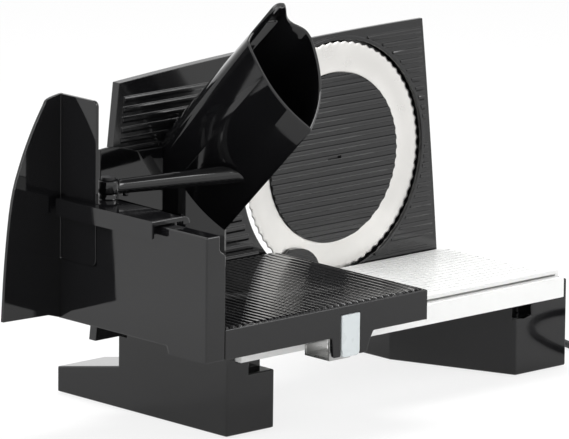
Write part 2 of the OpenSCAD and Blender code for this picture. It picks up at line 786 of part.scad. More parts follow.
module motor_shaft() color(steel) place() {
    rod_z(worm_x, wheel_y, shaft_r, motor_low - shaft_tail, bracket_z + bracket_t);
    difference() {
        rod_z(worm_x, wheel_y, worm_d / 2, blade_z - worm_l / 2, blade_z + worm_l / 2);
        for (i = [1 : floor(worm_l / worm_pitch) - 1])
            translate([worm_x, wheel_y, blade_z - worm_l / 2 + worm_pitch * i]) difference() {
                cylinder(h = thread_w, r = worm_d, $fn = small_n);
                cylinder(h = thread_w, r = worm_d / 2 - thread_h, $fn = small_n);
            }
    }
}
armature_gap = 4;
armature_r = motor_d / 2 - can_wall - armature_gap;
armature_shares = [0.357, 0.821];
armature_low = motor_low + motor_l * armature_shares[0];
armature_top = motor_low + motor_l * armature_shares[1];
pole_h = 4;
pole_w = 2;
module armature() color(copper) place() difference() {
    rod_z(worm_x, wheel_y, armature_r, armature_low, armature_top);
    rod_z(worm_x, wheel_y, shaft_r, armature_low - over, armature_top + over);
    for (a = [0 : 45 : 315]) translate([worm_x, wheel_y, armature_low - over]) rotate(a)
        translate([armature_r - pole_h, -pole_w / 2, 0])
            cube([2 * pole_h, pole_w, armature_top - armature_low + 2 * over]);
}
commutator_r = 8;
commutator_shares = [0.125, 0.304];
commutator_low = motor_low + motor_l * commutator_shares[0];
commutator_top = motor_low + motor_l * commutator_shares[1];
module commutator() color(copper) place() difference() {
    rod_z(worm_x, wheel_y, commutator_r, commutator_low, commutator_top);
    rod_z(worm_x, wheel_y, shaft_r, commutator_low - over, commutator_top + over);
}
fan_over = 3;
fan_z = motor_top + fan_over;
fan_r = 12;
fan_h = 6;
fan_disc_t = 1.6;
fan_hub_r = 6;
fan_hub_over = 1;
module cooling_fan() color("#3c3f42") place() difference() {
    union() {
        rod_z(worm_x, wheel_y, fan_r, fan_z, fan_z + fan_disc_t);
        rod_z(worm_x, wheel_y, fan_hub_r, fan_z, fan_z + fan_h);
        for (a = [0 : 45 : 315]) translate([worm_x, wheel_y, fan_z]) rotate(a)
            translate([fan_hub_r - fan_hub_over, -fan_disc_t / 2, 0])
                cube([fan_r - fan_hub_r, fan_disc_t, fan_h]);
    }
    rod_z(worm_x, wheel_y, shaft_r, fan_z - over, fan_z + fan_h + over);
}

// Rocker switch on top of the rear housing
switch_top = blade_z + housing_over;
switch_fit = 0.1;
switch_rim = 1.5;
switch_rim_h = 1.4;
switch_wall = 2;
switch_h = 14;
switch_deep = 9;
module switch_block(grow, z0, z1) block([switch_x - switch_w / 2 - grow, switch_y - switch_l / 2 - grow, z0],
    [switch_x + switch_w / 2 + grow, switch_y + switch_l / 2 + grow, z1]);
module switch_body() color("#2b2c2e") place() difference() {
    union() {
        switch_block(-switch_fit, switch_top - switch_h, switch_top);
        switch_block(switch_rim, switch_top, switch_top + switch_rim_h);
    }
    switch_block(-switch_wall, switch_top - switch_deep, switch_top + 2 * switch_rim_h);
    rocker_pin(rocker_pin_r + run_gap, switch_w / 2 - switch_wall + rocker_pin_in + rest_gap);
}
rocker_gap = 0.5;
rocker_drop = 1.5;
rocker_pin_r = 1.2;
rocker_pin_in = 1;
rocker_l = 15.6;
rocker_h = 3.4;
rocker_shares = [[-0.5, -0.294], [-0.5, 1], [0, 0.412], [0.5, 0.47], [0.5, -0.294], [0, -1.765]];
rocker_side = [for (s = rocker_shares) [s.x * rocker_l, s.y * rocker_h]];
module rocker_pin(r, half) translate([switch_x - half, switch_y, switch_top - rocker_drop])
    rotate([0, 90, 0]) cylinder(h = 2 * half, r = r);
module switch_rocker() color(black) place() {
    translate([switch_x - switch_w / 2 + switch_wall + rocker_gap, switch_y, switch_top]) rotate([90, 0, 90])
        linear_extrude(switch_w - 2 * (switch_wall + rocker_gap)) polygon(rocker_side);
    rocker_pin(rocker_pin_r, switch_w / 2 - switch_wall + rocker_pin_in);
}
terminal_in = 23;
terminal_x = base_right - terminal_in;
terminal_y = -10;
terminal_w = 14;
terminal_l = 16;
terminal_h = 12;
terminal_roof = 4;
terminal_top = base_lift - foot_wall;
terminal_low = terminal_top - terminal_h;
module terminal_block() color("#d8d8d0") place() difference() {
    block([terminal_x, terminal_y, terminal_low],
          [terminal_x + terminal_w, terminal_y + terminal_l, terminal_top]);
    for (y = [terminal_y + terminal_l / 4, terminal_y + terminal_l * 3 / 4])
        rod_z(terminal_x + terminal_w / 2, y, screw_r, terminal_low - over, terminal_top - terminal_roof,
              small_n);
}

// Strain relief and cord
relief_x = right_foot_x;
nut_t = 2;
nut_over = 2;
collar_t = 3;
collar_over = 1.5;
relief_tip = 0.6;
module strain_relief() color("#1c1d1f") place() translate([relief_x, gland_y, gland_z]) rotate([0, 90, 0]) {
    translate([0, 0, -foot_wall]) cylinder(h = foot_wall, r = gland_r, $fn = small_n);
    translate([0, 0, -foot_wall - nut_t]) cylinder(h = nut_t, r = gland_r + nut_over, $fn = small_n);
    cylinder(h = collar_t, r = gland_r + collar_over, $fn = small_n);
    translate([0, 0, collar_t])
        cylinder(h = relief_l - collar_t, r1 = gland_r, r2 = cord_d / 2 + relief_tip, $fn = small_n);
}

cord_r = cord_d / 2;
// Route of the cord from the strain relief to the coil, measured from the relief's end and the table
lead_route = [
    [0, 0, 16], [6, 0, 16], [13, -2, 14], [18, -9, 10], [20, -20, 6], [19, -34, 3], [15, -50, 3],
    [8, -68, 3], [2, -86, 3], [1, -104, 3], [5, -122, 3], [12, -140, 3], [20, -156, 3], [31, -170, 3],
    [42, -181, 3], [56, -190, 3], [72, -195, 3], [88, -195, 3], [102, -189, 3], [113, -178, 3],
    [119, -164, 3], [121, -150, 3], [121, -138, 3]
];
lead_start = [right_foot_x + relief_l, gland_y, 0];
cord_lift = 0.1;
lead_points = [for (p = lead_route) [lead_start.x + p.x, lead_start.y + p.y, max(p.z, cord_r + cord_lift)]];

coil_space = 0.5;
coil_pitch = cord_d + coil_space;
coil_out_r = coil_mid_d / 2 + coil_turns * coil_pitch / 2;
lead_end = lead_points[len(lead_points) - 1];
coil_x = lead_end.x - coil_out_r;
coil_y = lead_end.y + cord_d;
coil_z = lead_end.z;
rings_a_loop = 24;
layer_rings = rings_a_loop * coil_turns;
climb_rings = rings_a_loop / 2;
function smooth(t) = t * t * (3 - 2 * t);
function coil_point(i) =
    let (a = i * 360 / rings_a_loop,
         climb = smooth(max(0, min((i - layer_rings) / climb_rings, 1))),
         r = coil_out_r - coil_pitch * min(i, coil_rings - i) / rings_a_loop)
        [coil_x + r * cos(a), coil_y + r * sin(a), coil_z + climb * coil_pitch];
coil_rings = 2 * layer_rings + climb_rings;
coil_core = [for (i = [0 : coil_rings]) coil_point(i)];
coil_last = coil_core[len(coil_core) - 1];
coil_end_a = coil_rings * 360 / rings_a_loop;
coil_dir = [-sin(coil_end_a), cos(coil_end_a), 0];
coil_points = concat([coil_core[0] - [0, cord_d, 0]], coil_core, [coil_last + cord_d * coil_dir]);
coil_end = coil_points[len(coil_points) - 1];
coil_skip = 8;
coil_gap = min([
    for (i = [0 : len(coil_core) - coil_skip - 1])
        for (j = [i + coil_skip : len(coil_core) - 1]) norm(coil_core[i] - coil_core[j])
]) - cord_d;
echo(least_gap_of_the_coil_to_itself = coil_gap);  // cord_coil

// Tube swept along points, with flat ends
function frame_at(p, i) = let (
        before = i == 0 ? p[1] - p[0] : p[i] - p[i - 1],
        after = i == len(p) - 1 ? before : p[i + 1] - p[i],
        t = unit(unit(before) + unit(after)),
        s = unit(cross(t, [0, 0, 1])))
    [s, cross(s, t)];
module tube(p, r, n) {
    rings = [for (i = [0 : len(p) - 1]) let (f = frame_at(p, i)) for (k = [0 : n - 1])
        p[i] + r * (cos(k * 360 / n + 180 / n) * f[0] + sin(k * 360 / n + 180 / n) * f[1])];
    m = len(p);
    polyhedron(points = rings, faces = concat(
        [for (i = [0 : m - 2]) for (k = [0 : n - 1]) let (a = i * n + k, b = i * n + (k + 1) % n)
            each [[a, b, a + n], [b, b + n, a + n]]],
        [for (k = [1 : n - 2]) [0, k + 1, k]],
        [for (k = [1 : n - 2]) (m - 1) * n * [1, 1, 1] + [0, k, k + 1]]), convexity = 10);
}
lead_sides = 8;
coil_sides = 6;
module cord_lead() color("#1c1d1f") place() tube(lead_points, cord_r, lead_sides);
module cord_coil() color("#1c1d1f") place() tube(coil_points, cord_r, coil_sides);

// Plug beside the coil
plug_turn = -90;
plug_l = 36;
plug_w = 26;
plug_t = 14;
pin_l = 19;
pin_r = 2;
pin_pitch = 18.6;
plug_lift = 0.2;
plug_z = plug_t / 2 + plug_lift;
plug_neck_l = 14;
plug_neck_r = 6.4;
plug_neck_tip = 0.5;
plug_corner_r = 5;
plug_out = pin_l + plug_l;
tail_l = 24;
plug_tip = [coil_end.x, coil_end.y + tail_l + plug_out];
module at_plug() translate([plug_tip.x, plug_tip.y, plug_z]) rotate([0, 0, plug_turn]) children();
module plug_body() color("#1c1d1f") place() at_plug() translate([pin_l, 0, 0]) rotate([0, 90, 0]) {
    linear_extrude(plug_l - plug_neck_l)
        soft_rect([-plug_t / 2, -plug_w / 2], [plug_t / 2, plug_w / 2], plug_corner_r);
    translate([0, 0, plug_l - plug_neck_l])
        cylinder(h = plug_neck_l, r1 = plug_neck_r, r2 = cord_r + plug_neck_tip, $fn = small_n);
}
module plug_pins() color(steel) place() at_plug() for (s = [-1, 1])
    translate([0, s * pin_pitch / 2, 0]) rotate([0, 90, 0]) cylinder(h = pin_l, r = pin_r, $fn = small_n);

// The tail runs from the coil's end to the plug
tail_points = [
    coil_end, coil_end + [0, cord_d, 0],
    [plug_tip.x, plug_tip.y - plug_out - cord_d, plug_z], [plug_tip.x, plug_tip.y - plug_out, plug_z]
];
module cord_tail() color("#1c1d1f") place() tube(tail_points, cord_r, lead_sides);

// Stop plate
stop_rib_count = floor((plate_top_left - base_top - rib_low) / rib_pitch);
left_slope_share = (stop_left_low - stop_left_top) / (plate_top_left - stop_bottom);
function left_edge(z) = -stop_left_low + left_slope_share * (z - stop_bottom);
module stop_plate() color(black) place() {
    difference() {
        upright(skin_front, skin_front + stop_depth) stop_outline();
        upright(skin_back, skin_front + stop_depth + over) difference() {
            intersection() {
                polygon(inset(plate_outline, plate_t));
                translate([-stop_left_low, stop_bottom + plate_t])
                    square([stop_left_low + split_x - pass_gap - plate_t, plate_top_right]);
            }
            translate([0, blade_z]) circle(r = blade_r + slice_gap + plate_t, $fn = round_n);
            translate([-stop_foot_right - plate_t, stop_bottom - over])
                square([stop_foot_right + plate_t, base_top + over + plate_t - stop_bottom]);
        }
        for (x = rod_spots) rod_y(x + rod_in, rod_z0, rod_d / 2, skin_front - over, carrier_y + over);
        rod_y(spindle_x, rod_z0, spindle_r + bush_t, skin_front - over, carrier_y + over);
    }
    for (i = [0 : stop_rib_count - 1])
        let (z = base_top + rib_low + i * rib_pitch, x0 = left_edge(z) + rib_margin,
             x1 = min(-ring_x(blade_r + slice_gap + rib_margin, z), split_x - rib_margin))
            if (z < plate_top_left - rib_margin) rib(x0, x1, skin_front, z);
}
carrier_t = 6;
carrier_top = 96;
carrier_y = skin_front + stop_depth;
carrier_side = 10;
carrier_back = carrier_y + carrier_t;
nut_l = 2;
module stop_carrier() color("#2b2c2e") place() difference() {
    block([rod_spots[0] + rod_in - carrier_side, carrier_y, stop_bottom + pass_gap],
          [rod_spots[1] + rod_in + carrier_side, carrier_back, carrier_top]);
    for (x = rod_spots) rod_y(x + rod_in, rod_z0, rod_d / 2, carrier_y - over, carrier_back + over);
    rod_y(spindle_x, rod_z0, spindle_r + bush_t, carrier_y - over, carrier_back + over);
}
module stop_rods() color(steel) place() for (x = rod_spots)
    rod_y(x + rod_in, rod_z0, rod_d / 2, guide_front - boss_r, carrier_back);
module stop_nut() color(brass) place() difference() {
    rod_y(spindle_x, rod_z0, spindle_r + bush_t, carrier_y, carrier_back + nut_l);
    rod_y(spindle_x, rod_z0, spindle_r + run_gap, carrier_y - over, carrier_back + nut_l + over);
}
module guide_bushes() color("#e4dfd2") place()
    for (x = rod_spots) for (y = [guide_back, guide_front]) difference() {
        rod_y(x + rod_in, rod_z0, rod_d / 2 + bush_t, y - boss_r, y + boss_r);
        rod_y(x + rod_in, rod_z0, rod_d / 2 + run_gap, y - boss_r - over, y + boss_r + over);
    }
module knob_bearing() color(brass) place() difference() {
    rod_y(spindle_x, rod_z0, spindle_r + bush_t, guide_back - boss_r, guide_back + boss_r);
    rod_y(spindle_x, rod_z0, spindle_r + run_gap, guide_back - boss_r - over, guide_back + boss_r + over);
}

// Thickness knob and its spindle
knob_y = carrier_back + nut_l + slice_max + pass_gap;
spindle_end = 3;
spindle_gap = 0.2;
spindle_stop = guide_back - boss_r;
module knob_spindle() color(steel) place() {
    rod_y(spindle_x, rod_z0, spindle_r, spindle_stop - spindle_end, knob_y + knob_l / 2);
    rod_y(spindle_x, rod_z0, spindle_r + bush_t, spindle_stop - spindle_end, spindle_stop - spindle_gap);
}
grip_count = 18;
grip_in = 1.8;
grip_r = 1.6;
grip_n = 16;
knob_flange_in = 1.2;
knob_flange_l = 4;
knob_dish_in = 5;
knob_dish_h = 3;
module thickness_knob() color(black) place() difference() {
    union() {
        rod_y(spindle_x, rod_z0, knob_d / 2 - knob_flange_in, knob_y, knob_y + knob_l);
        rod_y(spindle_x, rod_z0, knob_d / 2, knob_y, knob_y + knob_flange_l);
        for (i = [0 : grip_count - 1]) let (a = i * 360 / grip_count, r = knob_d / 2 - grip_in)
            rod_y(spindle_x + r * cos(a), rod_z0 + r * sin(a), grip_r, knob_y, knob_y + knob_l, grip_n);
    }
    rod_y(spindle_x, rod_z0, spindle_r, knob_y - over, knob_y + knob_l / 2);
    rod_y(spindle_x, rod_z0, knob_d / 2 - knob_dish_in, knob_y + knob_l - knob_dish_h, knob_y + knob_l + over);
}

// Carriage
wall_in = -wall_out + wall_w;
wall_drop = 16.9;
wall_low = tray_top - wall_drop;
skirt_low = tray_top - skirt_h;
wall_step = 40.5;
shelf_h = 15;
shelf_w = 5.6;
end_t = 3;
runner_w = 8;
tab_in = 9;
tab_roof = 7;
pad_clear = 3;
glide_r = 3;
glide_l = 3;
edge_drop = 1;
cleat_w = 6;
cleat_h = 16;
wall_screw_drop = 10;
tray_l = -tray_right - wall_in;
tray_low = tray_top - tray_rib_h;
tray_under = tray_low - skin_t;
runner_shares = [0.0836, 0.5117, 0.919];
runner_x = [for (s = runner_shares) wall_in + s * tray_l];
pad_shares = [0.395, 0.9];
pad_y = [for (s = pad_shares) -carriage_front + s * (carriage_front - carriage_back)];
wall_screw_shares = [0.123, 0.5117, 0.9];
wall_screw_y = [for (s = wall_screw_shares) -carriage_front + s * (carriage_front - carriage_back)];
lug_shares = [
    [0, 0.069], [0.041, -0.931], [0.082, -1], [0.918, -1], [1, -0.448], [1.082, -0.069], [1.137, 0.069]
];
module wall_screw_holes() for (y = wall_screw_y)
    translate([wall_in - skin_t - over, y, tray_top - wall_screw_drop]) rotate([0, 90, 0])
        cylinder(h = runner_w + skin_t, r = screw_r + run_gap, $fn = small_n);
module carriage_tray() color(black) place() {
    difference() {
        union() {
            block([wall_in, -carriage_front, tray_under], [-tray_right, -carriage_back, tray_low]);
            block([wall_in, -carriage_front, skirt_low],
                  [-tray_right, -carriage_front + skin_t, tray_top - edge_drop]);
            block([-tray_right - end_t, -carriage_front, base_top + 4 * rest_gap],
                  [-tray_right, -carriage_back, tray_top - edge_drop]);
            block([wall_in, -carriage_back - end_t, base_top + 4 * rest_gap],
                  [-tray_right, -carriage_back, tray_low]);
            upright(-carriage_front, -carriage_front + skin_t)
                polygon([for (s = lug_shares) [-lug_left + s.x * lug_w, skirt_low + s.y * lug_drop]]);
            for (x = runner_x)
                block([x - runner_w / 2, -carriage_front + skin_t, base_top + pad_clear],
                      [x + runner_w / 2, -carriage_back - end_t, tray_low]);
        }
        block([-lug_left + tab_in - rest_gap, -carriage_front - over, skirt_low - lug_drop - over],
              [-lug_left + tab_in + tab_w + rest_gap, -carriage_front + skin_t + over, tray_top - tab_roof]);
        for (x = runner_x) for (y = pad_y) rod_z(x, y, glide_r, base_top, base_top + pad_clear + glide_l);
        wall_screw_holes();
    }
    for (x = [wall_in + tray_pitch / 2 : tray_pitch : -tray_right - tray_pitch])
        upright_rib(x);
    difference() {
        block([wall_in, -carriage_front + skin_t, tray_top - cleat_h],
              [wall_in + cleat_w, -carriage_back - end_t, tray_low]);
        wall_screw_holes();
    }
}
tray_rib_shares = [[-0.36, 0], [-0.1, 1], [0.1, 1], [0.36, 0]];
module upright_rib(x) upright(-carriage_front + skin_t, -carriage_back)
    polygon([for (s = tray_rib_shares) [x + s.x * tray_pitch, tray_low + s.y * tray_rib_h]]);

step_lean = 2;
ramp_h = 4;
seam = 0.01;
shield_drop = 40;
module wall_side(d) polygon([
    [-carriage_front + d, skirt_low - 2 * d], [-carriage_front + d, wall_top - d],
    [-carriage_back - d, wall_top - d], [-carriage_back - d, wall_low - 2 * d],
    [-carriage_front + wall_step, wall_low - 2 * d],
    [-carriage_front + wall_step - step_lean, skirt_low - 2 * d]
]);
module carriage_wall() color(black) place() difference() {
    sideways(-wall_out, wall_in) wall_side(0);
    sideways(-wall_out + skin_t, wall_in - skin_t) wall_side(skin_t);
    block([wall_in - shelf_w, -carriage_front - over, wall_top - shelf_h + ramp_h],
          [wall_in + over, over, wall_top + over]);
    upright(-carriage_front - over, over) polygon([
        [wall_in - shelf_w - seam, wall_top - shelf_h + ramp_h + seam],
        [wall_in + over, wall_top - shelf_h], [wall_in + over, wall_top]
    ]);
    wall_screw_holes();
    block([-wall_out - over, -carriage_back - shield_l - rest_gap, wall_top - shield_drop],
          [-wall_out + skin_t + over, over, wall_top + over]);
}
screw_head_t = 2;
module wall_screws() color(steel) place() for (y = wall_screw_y)
    translate([wall_in - skin_t, y, tray_top - wall_screw_drop]) rotate([0, 90, 0]) {
        cylinder(h = skin_t + cleat_w - rest_gap, r = screw_r, $fn = small_n);
        translate([0, 0, -screw_head_t]) cylinder(h = screw_head_t, r = small_head_r, $fn = small_n);
    }

// Thumb guard: fin across the end of the wall and its upright along the wall
fin_drop = 12.2;
fin_low = tray_top - fin_drop;
guard_gap = 0.4;
fin_neck = 2;
fin_heel_shares = [[0, -0.026], [0.2, -0.0065]];
shield_corner_r = 4;
fin_back = -carriage_back - guard_gap;
fin_shares = [
    [1, 0], [0.946, 0.268], [0.838, 0.546], [0.675, 0.713], [0.48, 0.85], [0.3, 0.95], [0.218, 0.984], [0, 1]
];
fin_line = spline([for (s = fin_shares) [-wall_out - s.x * fin_w, fin_low + s.y * fin_h]], 4);
module thumb_guard() color(black) place() {
    upright(fin_back - skin_t, fin_back) polygon(concat(
        fin_line,
        [[-wall_out + skin_t, fin_low + fin_h], [-wall_out + skin_t, wall_top + fin_neck]],
        [[-wall_out, wall_top + fin_neck]],
        [for (s = fin_heel_shares) [-wall_out - s.x * fin_w, fin_low + s.y * fin_h]]));
    sideways(-wall_out, -wall_out + skin_t) soft_rect(
        [-carriage_back - shield_l, wall_top - shield_drop + guard_gap], [fin_back, fin_low + fin_h],
        shield_corner_r);
}

// Steel bracket under the tray behind the lug
hook_in = 4;
hook_w = 20;
hook_t = 2;
hook_l = 25.4;
hook_h = 8;
hook_drop = 18;
module guide_bracket() color(steel) place() {
    y0 = -carriage_front + skin_t + hook_in;
    y1 = y0 + hook_l;
    z0 = skirt_low - hook_drop;
    sideways(-lug_left + hook_in, -lug_left + hook_in + hook_w) polygon([
        [y0, tray_under], [y0, z0], [y1, z0], [y1, z0 + hook_h],
        [y1 - hook_t, z0 + hook_h], [y1 - hook_t, z0 + hook_t], [y0 + hook_t, z0 + hook_t],
        [y0 + hook_t, tray_under]
    ]);
}
shoe_l = 30;
shoe_lift = 1;
shoe_shares = [0.1462, 0.6997];
module guide_shoes() color("#dcdcd6") place() for (s = shoe_shares) let (x = wall_in + s * tray_l)
    block([x, -base_front + base_wall + rest_gap, base_top - slot_depth + shoe_lift],
          [x + shoe_l, -base_front + base_wall + slot_w - rest_gap, tray_under]);
module glide_pads() color("#dcdcd6") place() for (x = runner_x) for (y = pad_y)
    rod_z(x, y, glide_r, base_top + rest_gap, base_top + pad_clear + glide_l);

// Release tab in the skirt
tab_over = 0.5;
tab_corner_r = 3;
module release_tab() color(light_grey) place() upright(-carriage_front - tab_out, -carriage_front + skin_t) {
    x0 = -lug_left + tab_in;
    z0 = skirt_low - lug_drop - tab_over;
    z1 = tray_top - tab_roof - rest_gap;
    translate([x0, z0 + tab_corner_r]) square([tab_w, z1 - z0 - tab_corner_r]);
    translate([x0 + tab_corner_r, z0]) square([tab_w - 2 * tab_corner_r, 2 * tab_corner_r]);
    for (x = [x0 + tab_corner_r, x0 + tab_w - tab_corner_r])
        translate([x, z0 + tab_corner_r]) circle(r = tab_corner_r, $fn = small_n);
}

// Chute: leaf outline in its own plane, from the keel round to the keel
leaf_shares = [
    [0, 0], [0.115, 0.072], [0.227, 0.181], [0.323, 0.313], [0.389, 0.456], [0.4, 0.627],
    [0.386, 0.758], [0.337, 0.859], [0.264, 0.907], [0.155, 0.952], [0.032, 0.985], [-0.161, 1.005],
    [-0.312, 1.008], [-0.43, 0.965], [-0.559, 0.891], [-0.592, 0.845], [-0.582, 0.779], [-0.534, 0.604],
    [-0.458, 0.413], [-0.302, 0.225], [-0.126, 0.083]
];
leaf_top = max([for (s = leaf_shares) s.y]);
leaf = [for (s = leaf_shares) [s.x * chute_w, s.y * chute_h]];
leaf_smooth = spline(concat(leaf, [leaf[0]]), 2);
leaf_outer = [for (i = [0 : len(leaf_smooth) - 2]) leaf_smooth[i]];
leaf_inner = inset(leaf_outer, chute_wall);
keel_end = [-keel_x, -keel_y, tray_top + keel_rise];
mouth = keel_end + keel_l * [0, -cos(chute_tilt), sin(chute_tilt)];
mouth_ratio = cos(mouth_lean - 90 + chute_tilt);
big = 3 * chute_h;
chute_back = carriage_back + guard_gap;

module leaf_prism(p) translate(mouth) rotate([90 - chute_tilt, 0, 0])
    translate([0, 0, -keel_l - chute_wall]) linear_extrude(keel_l + chute_w) polygon(p);
module beyond(spot) translate(spot) rotate([mouth_lean, 0, 0]) translate([-big / 2, -big / 2, 0]) cube(big);
module below_end() translate(keel_end) rotate([mouth_lean, 0, 0])
    translate([-big / 2, -big / 2, -big]) cube(big);

// The leaf seen from above where the keel ends; its left part carries on straight down
guide_depth_share = 0.9;
guide_nose = 3;
function from_above(p) = [for (q = p) [-keel_x + q.x, -keel_y + q.y / mouth_ratio * cos(mouth_lean)]];
module guide_plan() difference() {
    intersection() {
        polygon(from_above(leaf_outer));
        translate([-keel_x - chute_w, -keel_y - over])
            square([chute_w + guide_nose, over + chute_h * guide_depth_share / mouth_ratio * cos(mouth_lean)]);
    }
    polygon(from_above(leaf_inner));
}
// Hanging ear: the chute's top wall carries on past the mouth inside this outline
ear_shares = [
    [-0.44, -0.24], [-0.42, 0], [-0.425, 0.107], [-0.455, 0.2], [-0.462, 0.25], [-0.45, 0.285], [-0.405, 0.303],
    [-0.27, 0.3], [-0.2, 0.285], [-0.155, 0.25], [-0.11, 0.205], [-0.065, 0.15], [-0.02, 0.1], [0.035, 0.053],
    [0.097, 0.013], [0.161, -0.033], [0.226, -0.107]
];
ear_depth = 20;
ear_slot_x = -14.5;
ear_slot_s = 0.6;
ear_slot_l = 7;
ear_slot_h = 3;
ear_top_y = leaf_top * chute_h;
module on_ear() translate(mouth) rotate([-chute_tilt, 0, 0])
    translate([0, -ear_top_y * tan(chute_tilt + mouth_lean - 90), ear_top_y - ear_depth])
        linear_extrude(2 * ear_depth) children();
module ear_outline() polygon([for (s = ear_shares) [s.x * chute_w, -s.y * chute_h]]);
module ear_slot() hull() for (x = [ear_slot_x, ear_slot_x + ear_slot_l])
    translate([x, -ear_slot_s]) circle(r = ear_slot_h / 2, $fn = small_n);
module chute_tube() color(black) place() difference() {
    union() {
        difference() {
            leaf_prism(leaf_outer);
            leaf_prism(leaf_inner);
            difference() {
                beyond(mouth);
                on_ear() ear_outline();
            }
            on_ear() ear_slot();
            below_end();
        }
        difference() {
            translate([0, 0, tray_top + pass_gap]) linear_extrude(chute_h + keel_rise) guide_plan();
            beyond(keel_end);
        }
    }
    block([-keel_x - big, -chute_back, 0], [-keel_x + big, big, 2 * wall_top]);
}

// Flat panel left of the chute, its arm and its knuckle
pivot_in = 20;
pivot_x = -wall_out + pivot_in;
pivot_y = -35;
cap_under = wall_top + pass_gap;
cap_t = 4;
cap_top = cap_under + cap_t;
panel_left = -229;
panel_right = -161.5;
panel_shares = [[0, 1], [0.18, 1.005], [0.43, 0.965], [0.53, 0.945], [1, 0.945]];
knuckle_h = 8;
arm_lift = 5;
arm_z = cap_top + arm_lift;
post_drop = 1;
post_top = arm_z - post_drop;
post_r = knuckle_d / 2 - pass_gap;
arm_turn = 12.7;
arm_short = 6;
arm_up = 2.5;
arm_in = 3;
arm_flare = 1;
panel_t = 2.6;
peg_x = 13;
peg_y = 3;
peg_r = 2.2;
peg_lap = 2;
hinge_pin_r = 3;
hinge_head_r = 5;
hinge_head_t = 2;
pin_hole_r = hinge_pin_r + run_gap;
module beyond_arm() translate([-keel_x - arm_short, pivot_y - chute_w, cap_top])
    cube([chute_w, 2 * chute_w, chute_h]);
module chute_panel() color(black) place() difference() {
    union() {
        upright(-chute_back - panel_t, -chute_back) polygon(concat(
            [[panel_left, tray_top + pass_gap]],
            spline([for (s = panel_shares)
                [panel_left + s.x * (panel_right - panel_left), tray_top + s.y * panel_h]], 4),
            [[panel_right, tray_top + pass_gap]]));
        rod_z(pivot_x, pivot_y, knuckle_d / 2, post_top + rest_gap, arm_z + knuckle_h);
        translate([pivot_x, pivot_y, arm_z + arm_up]) rotate([0, 0, -arm_turn]) rotate([0, 90, 0])
            translate([0, 0, arm_in])
                cylinder(h = -keel_x - pivot_x, r1 = arm_d / 2 - arm_flare, r2 = arm_d / 2 + arm_flare,
                         $fn = small_n);
        rod_z(pivot_x + peg_x, pivot_y - peg_y, peg_r, cap_top + pass_gap, arm_z + peg_lap, small_n);
    }
    beyond_arm();
    rod_z(pivot_x, pivot_y, post_r + rest_gap, cap_under, post_top + rest_gap);
    rod_z(pivot_x, pivot_y, pin_hole_r, post_top - over, arm_z + knuckle_h + over);
    leaf_prism(leaf_outer);
    translate([0, 0, tray_top]) linear_extrude(chute_h + keel_rise) polygon(from_above(leaf_outer));
}

hinge_top = arm_z + knuckle_h + rest_gap;
module hinge_pin() color("#2b2c2e") place() {
    rod_z(pivot_x, pivot_y, hinge_pin_r, cap_under, hinge_top, small_n);
    rod_z(pivot_x, pivot_y, hinge_head_r, hinge_top, hinge_top + hinge_head_t, small_n);
}

// Clamp cap over the wall's top
cap_over = 8;
cap_left = -wall_out - cap_over;
cap_back = -11;
ear_w = 6;
cap_front = cap_back - cap_l;
cap_right = cap_left + cap_w;
cap_low = cap_top - lip_h;
cap_lip_t = 2.6;
cap_web_shares = [0.1, 0.4];
cap_web_t = 3;
cap_drop = 1;
tongue_x = wall_in - shelf_w + rest_gap;
tongue_short = 10;
flange_t = 2;
module clamp_cap() color(black) place() difference() {
    union() {
        block([cap_left, cap_front, cap_under], [cap_right, cap_back, cap_top]);
        block([cap_left, cap_front, cap_low], [cap_left + cap_lip_t, cap_back, cap_top]);
        for (s = cap_web_shares) let (y = cap_front + s * cap_l)
            block([cap_left, y, cap_low], [-wall_out - rest_gap, y + cap_web_t, cap_top - cap_drop]);
        block([tongue_x, cap_front, cap_low + cap_drop],
              [tongue_x + cap_lip_t, cap_back - tongue_short, cap_top - cap_drop]);
        rod_z(pivot_x, pivot_y, post_r, cap_under, post_top);
        upright(cap_front, cap_front + flange_t) polygon(concat(
            [[cap_right - over, cap_top - ear_w]],
            bow([cap_right + ear_w, cap_top - ear_w], [cap_right + ear_w, cap_top],
                [cap_right - over, cap_top], 6)));
    }
    block([-wall_out - pass_gap, -carriage_back - shield_l - pass_gap, cap_low - over],
          [-wall_out + skin_t + pass_gap, over, cap_top + over]);
    rod_z(pivot_x, pivot_y, hinge_pin_r, cap_under - over, arm_z + over);
}

base_plate();
left_foot();
right_foot();
foot_pads();
foot_screws();
housing_front();
housing_rear();
housing_screws();
lower_guard();
blade_axle();
motor_can();
motor_bracket();
motor_bushes();
switch_body();
terminal_block();
strain_relief();
guide_bushes();
knob_bearing();
cord_lead();
cord_coil();
cord_tail();
plug_body();
plug_pins();
blade();
blade_gear();
hub_bushes();
blade_screws();
blade_cover();
motor_shaft();
armature();
commutator();
cooling_fan();
switch_rocker();
stop_plate();
stop_carrier();
stop_rods();
stop_nut();
thickness_knob();
knob_spindle();
carriage_tray();
carriage_wall();
thumb_guard();
guide_bracket();
guide_shoes();
glide_pads();
wall_screws();
release_tab();
clamp_cap();
chute_tube();
chute_panel();
hinge_pin();
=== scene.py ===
import math

import bmesh
import bpy
from mathutils import Matrix, Vector


